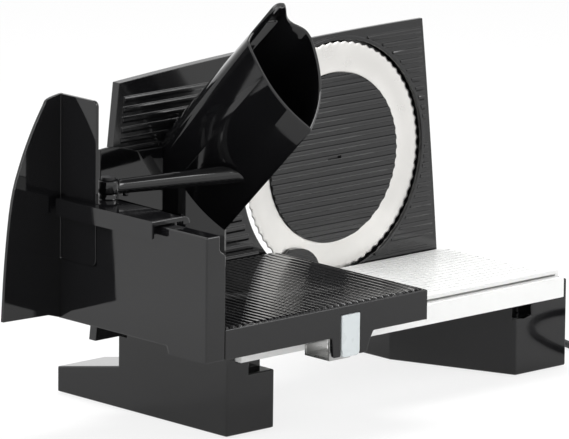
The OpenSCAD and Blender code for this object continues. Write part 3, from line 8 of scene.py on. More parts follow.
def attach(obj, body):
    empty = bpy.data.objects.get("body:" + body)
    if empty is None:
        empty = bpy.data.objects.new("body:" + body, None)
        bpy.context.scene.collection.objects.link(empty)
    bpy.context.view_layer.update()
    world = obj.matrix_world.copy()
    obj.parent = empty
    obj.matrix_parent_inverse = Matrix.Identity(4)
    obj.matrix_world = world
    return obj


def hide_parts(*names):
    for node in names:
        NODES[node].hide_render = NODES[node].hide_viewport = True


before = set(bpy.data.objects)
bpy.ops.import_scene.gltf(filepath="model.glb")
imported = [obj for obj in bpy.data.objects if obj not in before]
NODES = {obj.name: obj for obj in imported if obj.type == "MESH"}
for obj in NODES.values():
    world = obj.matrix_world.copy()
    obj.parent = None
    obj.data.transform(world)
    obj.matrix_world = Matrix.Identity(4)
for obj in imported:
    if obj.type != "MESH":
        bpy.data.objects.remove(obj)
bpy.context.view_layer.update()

bl_info = {
    "name": "Household food slicer",
    "version": (1, 0, 0),
    "blender": (4, 5, 0),
    "location": "3D View > Sidebar > Slicer",
    "description": "Dresses the slicer's packed frame with its finishes, its detailed pieces and a plain studio",
    "category": "Object",
}

MM = 1000
# The frame's origin in metres, measured from the blade's axis in X and from the blade's plane in Y
MID_X = -0.0815
MID_Y = -0.0453


def at(x, y, z):
    """A point given in millimetres from the blade's axis, the blade's plane and the table."""
    return Vector((x / MM - MID_X, y / MM - MID_Y, z / MM))


def new_mesh(name, points, faces, smooth=35.0):
    """An object of the given points and faces, shaded smooth below the given angle."""
    mesh = bpy.data.meshes.new(name)
    mesh.from_pydata([tuple(p) for p in points], [], faces)
    bm = bmesh.new()
    bm.from_mesh(mesh)
    bmesh.ops.remove_doubles(bm, verts=bm.verts, dist=1e-6)
    bmesh.ops.recalc_face_normals(bm, faces=bm.faces)
    bm.to_mesh(mesh)
    bm.free()
    mesh.shade_smooth()
    mesh.set_sharp_from_angle(angle=math.radians(smooth))
    obj = bpy.data.objects.new(name, mesh)
    bpy.context.scene.collection.objects.link(obj)
    return obj


def round_edges(obj, width, segments=2, angle=40.0):
    """Rounds the sharp edges of an object."""
    weld = obj.modifiers.new("close_seams", "WELD")
    weld.merge_threshold = 1e-6
    bevel = obj.modifiers.new("rounded_edges", "BEVEL")
    bevel.width = width
    bevel.segments = segments
    bevel.limit_method = "ANGLE"
    bevel.angle_limit = math.radians(angle)
    bevel.use_clamp_overlap = False
    bevel.harden_normals = True


def new_material(name):
    """A material with its node tree and its main shader."""
    mat = bpy.data.materials.new(name)
    mat.use_nodes = True
    return mat, mat.node_tree, mat.node_tree.nodes["Principled BSDF"]


def add_node(tree, kind, values=None, operation=None):
    """A new shader node, with the values of its sockets by name or number."""
    made = tree.nodes.new("ShaderNode" + kind)
    if operation:
        made.operation = operation
    for socket, value in (values or {}).items():
        made.inputs[socket].default_value = value
    return made


# How fine each layer of a finish is, and the part of a noise's range that it uses
CLOUD_DETAIL, WEAR_DETAIL, GRAIN_DETAIL = 5.0, 8.0, 3.0
WEAR_SCALE = 5
NOISE_LOW, NOISE_HIGH = 0.3, 0.7
GRAIN_DEPTH = 0.0004


def textured(name, color, rough, metal=0.0, tone=0.08, rough_spread=0.25, grain=350.0, bump=0.02, soft=12.0,
             specular=0.5, stretch=(1.0, 1.0, 1.0)):
    """A finish with slight changes of tone, a worn-in roughness and a fine surface grain."""
    mat, tree, shader = new_material(name)
    shader.inputs["Metallic"].default_value = metal
    shader.inputs["Specular IOR Level"].default_value = specular
    place = add_node(tree, "TexCoord")
    scale = add_node(tree, "Mapping", {"Scale": stretch})
    tree.links.new(place.outputs["Object"], scale.inputs["Vector"])

    def noise(size, detail):
        made = add_node(tree, "TexNoise", {"Scale": size, "Detail": detail})
        tree.links.new(scale.outputs["Vector"], made.inputs["Vector"])
        return made.outputs["Fac"]

    tint = add_node(tree, "ValToRGB")
    low, high = tint.color_ramp.elements
    low.position, high.position = NOISE_LOW, NOISE_HIGH
    low.color = [c * (1 - tone) for c in color] + [1]
    high.color = [min(1, c * (1 + tone)) for c in color] + [1]
    tree.links.new(noise(soft, CLOUD_DETAIL), tint.inputs["Fac"])
    tree.links.new(tint.outputs["Color"], shader.inputs["Base Color"])
    spread = add_node(tree, "MapRange", {
        "From Min": NOISE_LOW, "From Max": NOISE_HIGH,
        "To Min": rough * (1 - rough_spread), "To Max": rough * (1 + rough_spread),
    })
    tree.links.new(noise(soft * WEAR_SCALE, WEAR_DETAIL), spread.inputs["Value"])
    tree.links.new(spread.outputs["Result"], shader.inputs["Roughness"])
    relief = add_node(tree, "Bump", {"Strength": bump, "Distance": GRAIN_DEPTH})
    tree.links.new(noise(grain, GRAIN_DETAIL), relief.inputs["Height"])
    tree.links.new(relief.outputs["Normal"], shader.inputs["Normal"])
    return mat


# Each finish: its colour, its roughness and what differs from the usual texture
FINISH_VALUES = {
    "piano_black": ((0.0045, 0.0045, 0.005), 0.06, {
        "tone": 0.2, "rough_spread": 0.35, "grain": 260, "bump": 0.012, "soft": 9, "specular": 0.68}),
    "satin_black": ((0.006, 0.006, 0.0065), 0.13, {
        "tone": 0.15, "rough_spread": 0.2, "grain": 700, "bump": 0.03, "soft": 14, "specular": 0.72}),
    "matt_black": ((0.02, 0.02, 0.021), 0.45, {"grain": 1400, "bump": 0.12}),
    "white_mould": ((0.81, 0.812, 0.805), 0.32, {
        "tone": 0.008, "rough_spread": 0.06, "grain": 500, "bump": 0.0005, "soft": 5}),
    "pale_mould": ((0.74, 0.73, 0.69), 0.4, {"tone": 0.04, "grain": 900, "bump": 0.05}),
    "grey_mould": ((0.58, 0.62, 0.63), 0.3, {"tone": 0.03, "grain": 900, "bump": 0.05}),
    "rolled_steel": ((0.58, 0.58, 0.57), 0.3, {
        "metal": 1.0, "tone": 0.06, "grain": 600, "bump": 0.08, "stretch": (1, 8, 8)}),
    "ground_steel": ((0.92, 0.905, 0.875), 0.34, {"metal": 1.0, "tone": 0.04, "grain": 700, "bump": 0.06}),
    "zinc_plate": ((0.42, 0.43, 0.44), 0.4, {"metal": 1.0, "tone": 0.12, "grain": 500, "bump": 0.1}),
    "turned_brass": ((0.62, 0.46, 0.22), 0.3, {"metal": 1.0, "tone": 0.1, "grain": 700, "bump": 0.08}),
    "copper": ((0.55, 0.27, 0.14), 0.35, {"metal": 1.0, "tone": 0.12, "grain": 700, "bump": 0.08}),
    "cord_rubber": ((0.014, 0.014, 0.015), 0.42, {"grain": 1600, "bump": 0.15}),
}
FINISHES = {}


def finish(name):
    """The finish of that name, made on first use."""
    if name not in FINISHES:
        color, rough, rest = FINISH_VALUES[name]
        FINISHES[name] = textured(name, color, rough, **rest)
    return FINISHES[name]


def paint(obj, name):
    """Gives an object one finish all over."""
    obj.data.materials.clear()
    obj.data.materials.append(finish(name))


NODE_FINISH = {
    "piano_black": ["left_foot", "right_foot", "housing_rear", "lower_guard", "thickness_knob", "carriage_tray",
                    "carriage_wall", "thumb_guard", "clamp_cap", "chute_tube", "chute_panel", "switch_rocker"],
    "satin_black": ["housing_front", "stop_plate", "blade_cover"],
    "matt_black": ["hinge_pin", "switch_body", "stop_carrier", "cooling_fan", "strain_relief"],
    "white_mould": ["base_plate"],
    "pale_mould": ["guide_shoes", "glide_pads", "guide_bushes", "blade_gear", "terminal_block"],
    "grey_mould": ["release_tab"],
    "rolled_steel": ["blade_axle", "blade_screws", "foot_screws", "housing_screws", "wall_screws", "guide_bracket",
                     "stop_rods", "knob_spindle", "motor_shaft"],
    "ground_steel": ["blade"],
    "zinc_plate": ["motor_can", "motor_bracket", "armature"],
    "turned_brass": ["motor_bushes", "hub_bushes", "knob_bearing", "stop_nut", "plug_pins"],
    "copper": ["commutator"],
    "cord_rubber": ["foot_pads", "plug_body", "cord_lead", "cord_coil", "cord_tail"],
}

EDGE_MM = {
    "left_foot": 1.2, "right_foot": 1.2, "carriage_tray": 0.9, "carriage_wall": 1.3, "thumb_guard": 0.3,
    "clamp_cap": 1.0, "chute_panel": 0.6, "chute_tube": 0.6, "housing_rear": 1.0, "release_tab": 0.5,
    "guide_bracket": 0.4, "housing_front": 0.4, "stop_plate": 0.4, "lower_guard": 0.5, "thickness_knob": 0.5,
    "switch_body": 0.15, "switch_rocker": 0.15, "plug_body": 1.5,
}


def power_property(name, description, default):
    """A light's power, as a property of the studio."""
    return bpy.props.FloatProperty(
        name=name, description=description, default=default, min=0.0, max=400.0, unit="POWER")


class SlicerFinishes(bpy.types.PropertyGroup):
    edge_scale: bpy.props.FloatProperty(
        name="Edge rounding", description="Scale of the rounding on moulded edges",
        default=1.0, min=0.2, max=2.0, subtype="FACTOR")


class SlicerStudio(bpy.types.PropertyGroup):
    key_power: power_property("Key light", "Power of the large soft light over the slicer", 25.0)
    side_power: power_property("Side light", "Power of the soft light at the left", 14.0)
    front_power: power_property("Front light", "Power of the soft light at the front right", 9.0)
    floor_color: bpy.props.FloatVectorProperty(
        name="Floor colour", description="Colour of the studio floor",
        default=(0.93, 0.93, 0.93), size=3, subtype="COLOR", min=0.0, max=1.0)


# Camera fitted to the photograph: its turn, downward tilt and roll in radians, its focal length in the
# photograph's pixels, and its place in millimetres
PHOTO_W = 569
CAMERA_TURN, CAMERA_DROP, CAMERA_ROLL = 0.750107, 0.216374, 0.010644
CAMERA_FOCAL = 7382.4
CAMERA_PLACE = (-3568.9, -3780.8, 1251.4)
SENSOR_W = 36.0
VIEW_END = 50.0

# World: how bright it is low down and high up, and between which heights that changes
SKY_LOW, SKY_HIGH = 1.0, 0.12
SKY_FROM, SKY_TO = 0.6, 0.85

FLOOR_HALF = 6.0
FLOOR_Z = -0.0002
FLOOR_ROUGH, FLOOR_SPECULAR = 0.6, 0.2
# Mirrored in the slicer, the floor carries painted shade, greyer close by, and painted light, white behind: tones and
# distances in metres
PAINTED_SHADE_NEAR, PAINTED_SHADE_FAR = 0.2, 0.55
PAINTED_SHADE_DARK, PAINTED_SHADE_PALE = 0.46, 0.68
# Painted light behind the slicer: its way and the distances over which the mirrored floor turns white
PAINTED_LIGHT_WAY = (0.68, 0.73, 0)
PAINTED_LIGHT_FROM, PAINTED_LIGHT_TO = 0.05, 0.35
# Shares of plain tone in the floor, for glossy rays and for the camera
GLOSSY_SHARE, CAMERA_SHARE = 0.85, 0.8

# Each light: its place, what it faces, its two sides in metres, its power's property
LIGHTS = {
    "key_light": ((0.15, 0.25, 1.7), (0, 0, 0.1), (1.1, 0.55), "key_power"),
    "side_light": ((-1.7, 0.3, 1.0), (0, 0, 0.15), (0.6, 0.9), "side_power"),
    "front_light": ((0.9, -1.3, 1.3), (0, 0, 0.15), (0.9, 0.7), "front_power"),
}


def add_camera(scene):
    """Sets the camera at the photograph's view."""
    ahead = Vector((math.sin(CAMERA_TURN) * math.cos(CAMERA_DROP), math.cos(CAMERA_TURN) * math.cos(CAMERA_DROP),
                    -math.sin(CAMERA_DROP)))
    right = Vector((math.cos(CAMERA_TURN), -math.sin(CAMERA_TURN), 0))
    up = right.cross(ahead)
    rolled_right = math.cos(CAMERA_ROLL) * right + math.sin(CAMERA_ROLL) * up
    rolled_up = -math.sin(CAMERA_ROLL) * right + math.cos(CAMERA_ROLL) * up
    data = bpy.data.cameras.new("photo_camera")
    data.sensor_width = SENSOR_W
    data.lens = CAMERA_FOCAL / PHOTO_W * SENSOR_W
    data.clip_end = VIEW_END
    camera = bpy.data.objects.new("photo_camera", data)
    scene.collection.objects.link(camera)
    place = Matrix((rolled_right, rolled_up, -ahead)).transposed().to_4x4()
    place.translation = at(*CAMERA_PLACE)
    camera.matrix_world = place
    scene.camera = camera


def add_world(scene):
    """A world that the camera sees as white and that dims above the object."""
    world = bpy.data.worlds.new("studio_world")
    scene.world = world
    world.use_nodes = True
    tree = world.node_tree
    back = tree.nodes["Background"]
    way = add_node(tree, "TexCoord")
    split = add_node(tree, "SeparateXYZ")
    tree.links.new(way.outputs["Generated"], split.inputs["Vector"])
    height = add_node(tree, "MapRange", {
        "From Min": SKY_FROM, "From Max": SKY_TO, "To Min": SKY_LOW, "To Max": SKY_HIGH})
    tree.links.new(split.outputs["Z"], height.inputs["Value"])
    path = add_node(tree, "LightPath")
    most = add_node(tree, "Math", operation="MAXIMUM")
    tree.links.new(path.outputs["Is Camera Ray"], most.inputs[0])
    tree.links.new(height.outputs["Result"], most.inputs[1])
    back.inputs["Color"].default_value = (1, 1, 1, 1)
    tree.links.new(most.outputs["Value"], back.inputs["Strength"])


def add_floor(color):
    """A plain floor: white to the camera, with painted shade close by and painted light behind where the slicer
    mirrors it, and with the slicer's shadow.
    """
    corners = [(-1, -1), (1, -1), (1, 1), (-1, 1)]
    floor = new_mesh("studio_floor", [(x * FLOOR_HALF, y * FLOOR_HALF, 0) for x, y in corners], [(0, 1, 2, 3)])
    floor.location.z = FLOOR_Z
    mat, tree, shader = new_material("studio_floor")
    shader.inputs["Base Color"].default_value = tuple(color) + (1,)
    shader.inputs["Roughness"].default_value = FLOOR_ROUGH
    shader.inputs["Specular IOR Level"].default_value = FLOOR_SPECULAR
    path = add_node(tree, "LightPath")
    spot = add_node(tree, "TexCoord")
    reach = add_node(tree, "VectorMath", operation="LENGTH")
    tree.links.new(spot.outputs["Object"], reach.inputs[0])
    # Painted shade: where the slicer mirrors it, the floor glows darker close to the slicer
    painted_shade = add_node(tree, "MapRange", {
        "From Min": PAINTED_SHADE_NEAR, "From Max": PAINTED_SHADE_FAR, "To Min": PAINTED_SHADE_DARK, "To Max": PAINTED_SHADE_PALE})
    tree.links.new(reach.outputs["Value"], painted_shade.inputs["Value"])
    # Painted light: where the slicer mirrors it, the floor glows white behind the slicer
    behind = add_node(tree, "VectorMath", {1: PAINTED_LIGHT_WAY}, "DOT_PRODUCT")
    tree.links.new(spot.outputs["Object"], behind.inputs[0])
    painted_light_behind = add_node(tree, "MapRange", {"From Min": PAINTED_LIGHT_FROM, "From Max": PAINTED_LIGHT_TO, "To Max": 1.0})
    tree.links.new(behind.outputs["Value"], painted_light_behind.inputs["Value"])
    tree.links.new(painted_shade.outputs["Result"], painted_light_behind.inputs["To Min"])
    tone = add_node(tree, "Math", operation="MAXIMUM")
    tree.links.new(path.outputs["Is Camera Ray"], tone.inputs[0])
    tree.links.new(painted_light_behind.outputs["Result"], tone.inputs[1])
    glow = add_node(tree, "Emission", {"Strength": 1.0})
    tree.links.new(tone.outputs["Value"], glow.inputs["Color"])
    mirrored = add_node(tree, "Math", {1: GLOSSY_SHARE}, "MULTIPLY")
    seen = add_node(tree, "Math", {1: CAMERA_SHARE}, "MULTIPLY_ADD")
    tree.links.new(path.outputs["Is Glossy Ray"], mirrored.inputs[0])
    tree.links.new(path.outputs["Is Camera Ray"], seen.inputs[0])
    tree.links.new(mirrored.outputs["Value"], seen.inputs[2])
    mix = add_node(tree, "MixShader")
    tree.links.new(seen.outputs["Value"], mix.inputs["Fac"])
    tree.links.new(shader.outputs["BSDF"], mix.inputs[1])
    tree.links.new(glow.outputs["Emission"], mix.inputs[2])
    tree.links.new(mix.outputs["Shader"], tree.nodes["Material Output"].inputs["Surface"])
    floor.data.materials.append(mat)


class SLICER_OT_studio(bpy.types.Operator):
    """Builds the floor, the soft lights and the camera at the photograph's view"""
    bl_idname = "slicer.studio"
    bl_label = "Studio and camera"

    def execute(self, context):
        scene = context.scene
        values = scene.slicer_studio
        scene.view_settings.view_transform = "Standard"
        add_camera(scene)
        add_world(scene)
        add_floor(values.floor_color)
        for name, (spot, aim, (wide, high), power) in LIGHTS.items():
            lamp = bpy.data.lights.new(name, "AREA")
            lamp.shape = "RECTANGLE"
            lamp.size, lamp.size_y = wide, high
            lamp.energy = getattr(values, power)
            obj = bpy.data.objects.new(name, lamp)
            scene.collection.objects.link(obj)
            obj.location = spot
            obj.rotation_euler = (Vector(aim) - Vector(spot)).to_track_quat("-Z", "Y").to_euler()
            obj.visible_glossy = name != "key_light"
        return {"FINISHED"}


# Cord, in millimetres: the route from the strain relief's end, and the height at which it lies
LIE_Z = 3
LEAD_ROUTE = [
    (0, 0, 16), (6, 0, 16), (13, -2, 14), (18, -9, 10), (20, -20, 6), (19, -34, LIE_Z), (15, -50, LIE_Z),
    (8, -68, LIE_Z), (2, -86, LIE_Z), (1, -104, LIE_Z), (5, -122, LIE_Z), (12, -140, LIE_Z), (20, -156, LIE_Z),
    (31, -170, LIE_Z), (42, -181, LIE_Z), (56, -190, LIE_Z), (72, -195, LIE_Z), (88, -195, LIE_Z),
    (102, -189, LIE_Z), (113, -178, LIE_Z), (119, -164, LIE_Z), (121, -150, LIE_Z), (121, -138, LIE_Z),
]
CORD_D = 5.4
CORD_SIDES = 6
RELIEF_AT = (131.3, -30, 16)
RELIEF_L = 24
LEAD_START = (RELIEF_AT[0] + RELIEF_L, RELIEF_AT[1])
COIL_PITCH = CORD_D + 0.5
COIL_TURNS = 2.25
# Share of a turn in which the coil's strand climbs over itself
COIL_CLIMB = 0.5
COIL_CORE_D = 62.4
COIL_OUT = COIL_CORE_D / 2 + COIL_TURNS * COIL_PITCH / 2
COIL_AT = (LEAD_START[0] + LEAD_ROUTE[-1][0] - COIL_OUT, LEAD_START[1] + LEAD_ROUTE[-1][1] + CORD_D)
TAIL_L = 24
PLUG_Z = 7.2
LEAD_FINENESS, COIL_FINENESS = 4, 48


def lead_points():
    return [(LEAD_START[0] + x, LEAD_START[1] + y, z) for x, y, z in LEAD_ROUTE]


def coil_points(step=24):
    rings = int(step * (2 * COIL_TURNS + COIL_CLIMB))
    points = []
    for i in range(rings + 1):
        a = 2 * math.pi * i / step
        t = max(0.0, min(1.0, (i / step - COIL_TURNS) / COIL_CLIMB))
        climb = t * t * (3 - 2 * t)
        r = COIL_OUT - COIL_PITCH * min(i, rings - i) / step
        points.append((COIL_AT[0] + r * math.cos(a), COIL_AT[1] + r * math.sin(a), LIE_Z + climb * COIL_PITCH))
    first, last = points[0], points[-1]
    return [(first[0], first[1] - CORD_D, first[2])] + points + [(last[0], last[1] + CORD_D, last[2])]


def tail_points():
    end = coil_points()[-1]
    far = end[1] + TAIL_L
    return [end, (end[0], end[1] + CORD_D, end[2]), (end[0], far - CORD_D, PLUG_Z), (end[0], far, PLUG_Z)]


def cord_curve(name, points):
    data = bpy.data.curves.new(name, "CURVE")
    data.dimensions = "3D"
    data.bevel_depth = CORD_D / 2 / MM
    data.bevel_resolution = CORD_SIDES
    data.use_fill_caps = True
    spline = data.splines.new("POLY")
    spline.points.add(len(points) - 1)
    for slot, p in zip(spline.points, points):
        slot.co = (*at(*p), 1)
    obj = bpy.data.objects.new(name, data)
    bpy.context.scene.collection.objects.link(obj)
    data.materials.append(finish("cord_rubber"))
    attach(obj, "frame")
    return obj


def smooth_path(points, n):
    """A finer path through the same points."""
    out = []
    for i in range(len(points) - 1):
        a = Vector(points[max(i - 1, 0)])
        b = Vector(points[i])
        c = Vector(points[i + 1])
        d = Vector(points[min(i + 2, len(points) - 1)])
        for k in range(n):
            t = k / n
            out.append(b + (c - a) * t / 2 + (2 * a - 5 * b + 4 * c - d) * t * t / 2
                       + (3 * b - a - 3 * c + d) * t ** 3 / 2)
    out.append(Vector(points[-1]))
    return [tuple(p) for p in out]


class SLICER_OT_cord(bpy.types.Operator):
    """Lays the mains cord, its coil and its tail"""
    bl_idname = "slicer.cord"
    bl_label = "Mains cord"

    def execute(self, context):
        whole = smooth_path(lead_points(), LEAD_FINENESS)[:-1] + coil_points(COIL_FINENESS)[:-1] + tail_points()
        cord = cord_curve("mains_cord", whole)
        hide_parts("cord_lead", "cord_coil", "cord_tail")
        return {"FINISHED"}


def lathe(name, profile, centre, axis, steps, wave=None, smooth=40.0):
    """A turned piece: profile is a list of (radius, along, wave share) in millimetres."""
    along = Vector(axis).normalized()
    side = along.orthogonal().normalized()
    other = along.cross(side)
    points, faces = [], []
    count = len(profile)
    for i in range(steps):
        a = 2 * math.pi * i / steps
        for radius, y, share in profile:
            dr, dy = wave(a, share) if wave else (0.0, 0.0)
            r = (radius + dr) / MM
            points.append(centre + side * (r * math.cos(a)) + other * (r * math.sin(a)) + along * ((y + dy) / MM))
    for i in range(steps):
        for k in range(count - 1):
            a, b = i * count + k, ((i + 1) % steps) * count + k
            faces.append((a, b, b + 1, a + 1))
    return new_mesh(name, points, faces, smooth)


# Blade, in millimetres: its section as radius, depth and share of the teeth's wave
BLADE_Z = 154.9
BLADE_PROFILE = [
    (12, 0.5, 0), (62.4, 0.5, 0), (62.4, -0.85, 0), (62.55, -1.02, 0), (62.9, -1.08, 0), (64.0, -1.0, 0),
    (65.8, -0.86, 0), (68.0, -0.76, 0), (70.2, -0.74, 0), (72.4, -0.8, 0), (74.6, -0.93, 0), (76.6, -1.04, 0),
    (78.0, -1.08, 0), (80.2, -1.06, 0.1), (82.0, -1.03, 0.3), (83.2, -0.98, 0.6), (84.1, -0.88, 0.85),
    (84.7, -0.72, 1.0), (84.98, -0.5, 1.0), (84.9, -0.3, 1.0), (83.6, 0.1, 0.8), (80.5, 0.8, 0.3), (78, 1.3, 0),
    (62.4, 1.88, 0), (12, 1.9, 0), (12, 0.5, 0),
]
TEETH = 72
STEPS_PER_TOOTH = 14
TOOTH_DEPTH, TOOTH_LEAN, TOOTH_POINT = 1.1, 0.2, 1.5


def tooth_wave(a, share):
    """Scallops of the toothed edge: how far a point moves inwards and forwards."""
    dip = abs(math.cos(a * TEETH / 2)) ** TOOTH_POINT
    return -TOOTH_DEPTH * share * dip, TOOTH_LEAN * share * dip


class SLICER_OT_blade(bpy.types.Operator):
    """Turns the toothed blade with its scalloped edge, bevel and hollow-ground ring"""
    bl_idname = "slicer.blade"
    bl_label = "Toothed blade"

    def execute(self, context):
        blade = lathe("toothed_blade", BLADE_PROFILE, at(0, 0, BLADE_Z), (0, 1, 0), TEETH * STEPS_PER_TOOTH,
                      tooth_wave, 30)
        paint(blade, "ground_steel")
        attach(blade, "blade_group")
        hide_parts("blade")
        return {"FINISHED"}


# Tray, in millimetres: its ribs' field, their pitch, and a rib's section across and down from its crest
TRAY_TOP = 94.4
TRAY_X, TRAY_Y = (-248.0, -56.5), (-156.4, -4.6)
TRAY_PITCH = 6.0
RIB_LIFT = 0.03
RIB_DEEP = 1.3
RIB_ROUND = [
    (-2.6, -RIB_DEEP), (-2.35, -1.05), (-2.15, -0.5), (-1.95, -0.16), (-1.6, 0.0),
    (1.6, 0.0), (1.95, -0.16), (2.15, -0.5), (2.35, -1.05), (2.6, -RIB_DEEP),
]
# A rib's ends: distance from the end and depth under the crest
RIB_END = [(0, RIB_DEEP), (0.15, 0.5), (0.6, 0.0)]


class SLICER_OT_tray_ribs(bpy.types.Operator):
    """Builds the broad flat ribs of the carriage's tray with their rounded shoulders and ends"""
    bl_idname = "slicer.tray_ribs"
    bl_label = "Ribs of the tray"

    def execute(self, context):
        points, faces = [], []
        x = TRAY_X[0] + TRAY_PITCH / 2
        n = len(RIB_ROUND)
        rows = [(TRAY_Y[0] + d, drop) for d, drop in RIB_END] + [(TRAY_Y[1] - d, drop) for d, drop in RIB_END[::-1]]
        while x <= TRAY_X[1] - TRAY_PITCH + 0.01:
            base = len(points)
            for y, drop in rows:
                points += [at(x + dx, y, TRAY_TOP + RIB_LIFT + max(-RIB_DEEP, dz - drop)) for dx, dz in RIB_ROUND]
            for k in range(len(rows) - 1):
                for i in range(n - 1):
                    a = base + k * n + i
                    faces.append((a, a + 1, a + 1 + n, a + n))
            x += TRAY_PITCH
        ribs = new_mesh("tray_ribs", points, faces, 30)
        paint(ribs, "piano_black")
        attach(ribs, "carriage")
        return {"FINISHED"}


# Chute: the leaf-shaped outline of its tube as shares of its width and height, from the keel round to the keel
LEAF = [
    (0, 0), (0.115, 0.072), (0.227, 0.181), (0.323, 0.313), (0.389, 0.456), (0.4, 0.627), (0.386, 0.758),
    (0.337, 0.859), (0.264, 0.907), (0.155, 0.952), (0.032, 0.985), (-0.161, 1.005), (-0.312, 1.008),
    (-0.43, 0.965), (-0.559, 0.891), (-0.592, 0.845), (-0.582, 0.779), (-0.534, 0.604), (-0.458, 0.413),
    (-0.302, 0.225), (-0.126, 0.083),
]
LEAF_TOP = 1.008
LEAF_FINENESS = 9
# Passes that even out the whole outline, and those that go on below a share of its height
RELAX_ALL, RELAX_LOW, RELAX_BELOW = 24, 160, 0.76
CHUTE_W, CHUTE_H, CHUTE_WALL = 62, 75, 2.2
CHUTE_TILT, MOUTH_LEAN = math.radians(44.2), math.radians(67.7)
CHUTE_BACK = -5.0
KEEL_L = 123
KEEL_END = Vector((-133.5, -32, 125.4))
# The rim's rounding: its size, its two steps back as shares of that, and its shoulders as a share of the wall
LIP = 0.55
LIP_EDGE, LIP_SHOULDER = 1.6, 0.35
SHOULDER_SHARE = 0.22
# The part of the rim that reaches down to the tray, and its gap over the tray
FOOT_RIGHT = 3
FOOT_GAP = 0.5
# Height of the hanging ear above the rim, from its left side to its right side, above a share of the height
EAR = [
    (-28.9, 0), (-28.5, 17.8), (-27.9, 20.6), (-26.2, 22.2), (-23.5, 22.6), (-16.7, 22.2), (-12.4, 21.2),
    (-9.6, 18.8), (-6.8, 15.4), (-4.0, 11.2), (-1.2, 7.6), (2.2, 4.0), (6, 1.3), (10, 0),
]
EAR_ABOVE = 0.8
# The ear's slot: its two ends, its radius, its place over the rim and the depths that its cutter spans
SLOT_X = (-14.5, -7.5)
SLOT_R = 1.5
SLOT_RISE = 0.6
SLOT_CUT = (62, 86)
SLOT_STEPS = 10


def ear_height(x):
    for (x0, h0), (x1, h1) in zip(EAR, EAR[1:]):
        if x0 <= x <= x1:
            return h0 + (h1 - h0) * (x - x0) / (x1 - x0)
    return 0.0


def cut_away(obj, cutter):
    """Takes the cutter's volume out of an object and removes the cutter."""
    step = obj.modifiers.new("cut", "BOOLEAN")
    step.operation = "DIFFERENCE"
    step.solver = "EXACT"
    step.object = cutter
    mesh = bpy.data.meshes.new_from_object(obj.evaluated_get(bpy.context.evaluated_depsgraph_get()))
    obj.modifiers.clear()
    obj.data = mesh
    bpy.data.objects.remove(cutter)


def closed_spline(points, n):
    """A finer closed outline through the same points, sharp at the first one."""
    flat = smooth_path([(x, y, 0) for x, y in points] + [(points[0][0], points[0][1], 0)], n)
    return [(q[0], q[1]) for q in flat[:-1]]


def relaxed(points, passes, below=math.inf):
    """The outline with its curvature evened out below a height, its first point kept."""
    for _ in range(passes):
        count = len(points)
        points = [
            p if i == 0 or p[1] > below
            else tuple((points[i - 1][k] + 2 * p[k] + points[(i + 1) % count][k]) / 4 for k in (0, 1))
            for i, p in enumerate(points)
        ]
    return points


def inset(points, d):
    """The outline moved inwards by d."""
    out = []
    for i, b in enumerate(points):
        a, c = points[i - 1], points[(i + 1) % len(points)]
        u = Vector((b[0] - a[0], b[1] - a[1])).normalized()
        v = Vector((c[0] - b[0], c[1] - b[1])).normalized()
        m, n = Vector((-u.y, u.x)), Vector((-v.y, v.x))
        shift = (m + n) * d / max(0.3, 1 + m.dot(n))
        out.append((b[0] + shift.x, b[1] + shift.y))
    return out


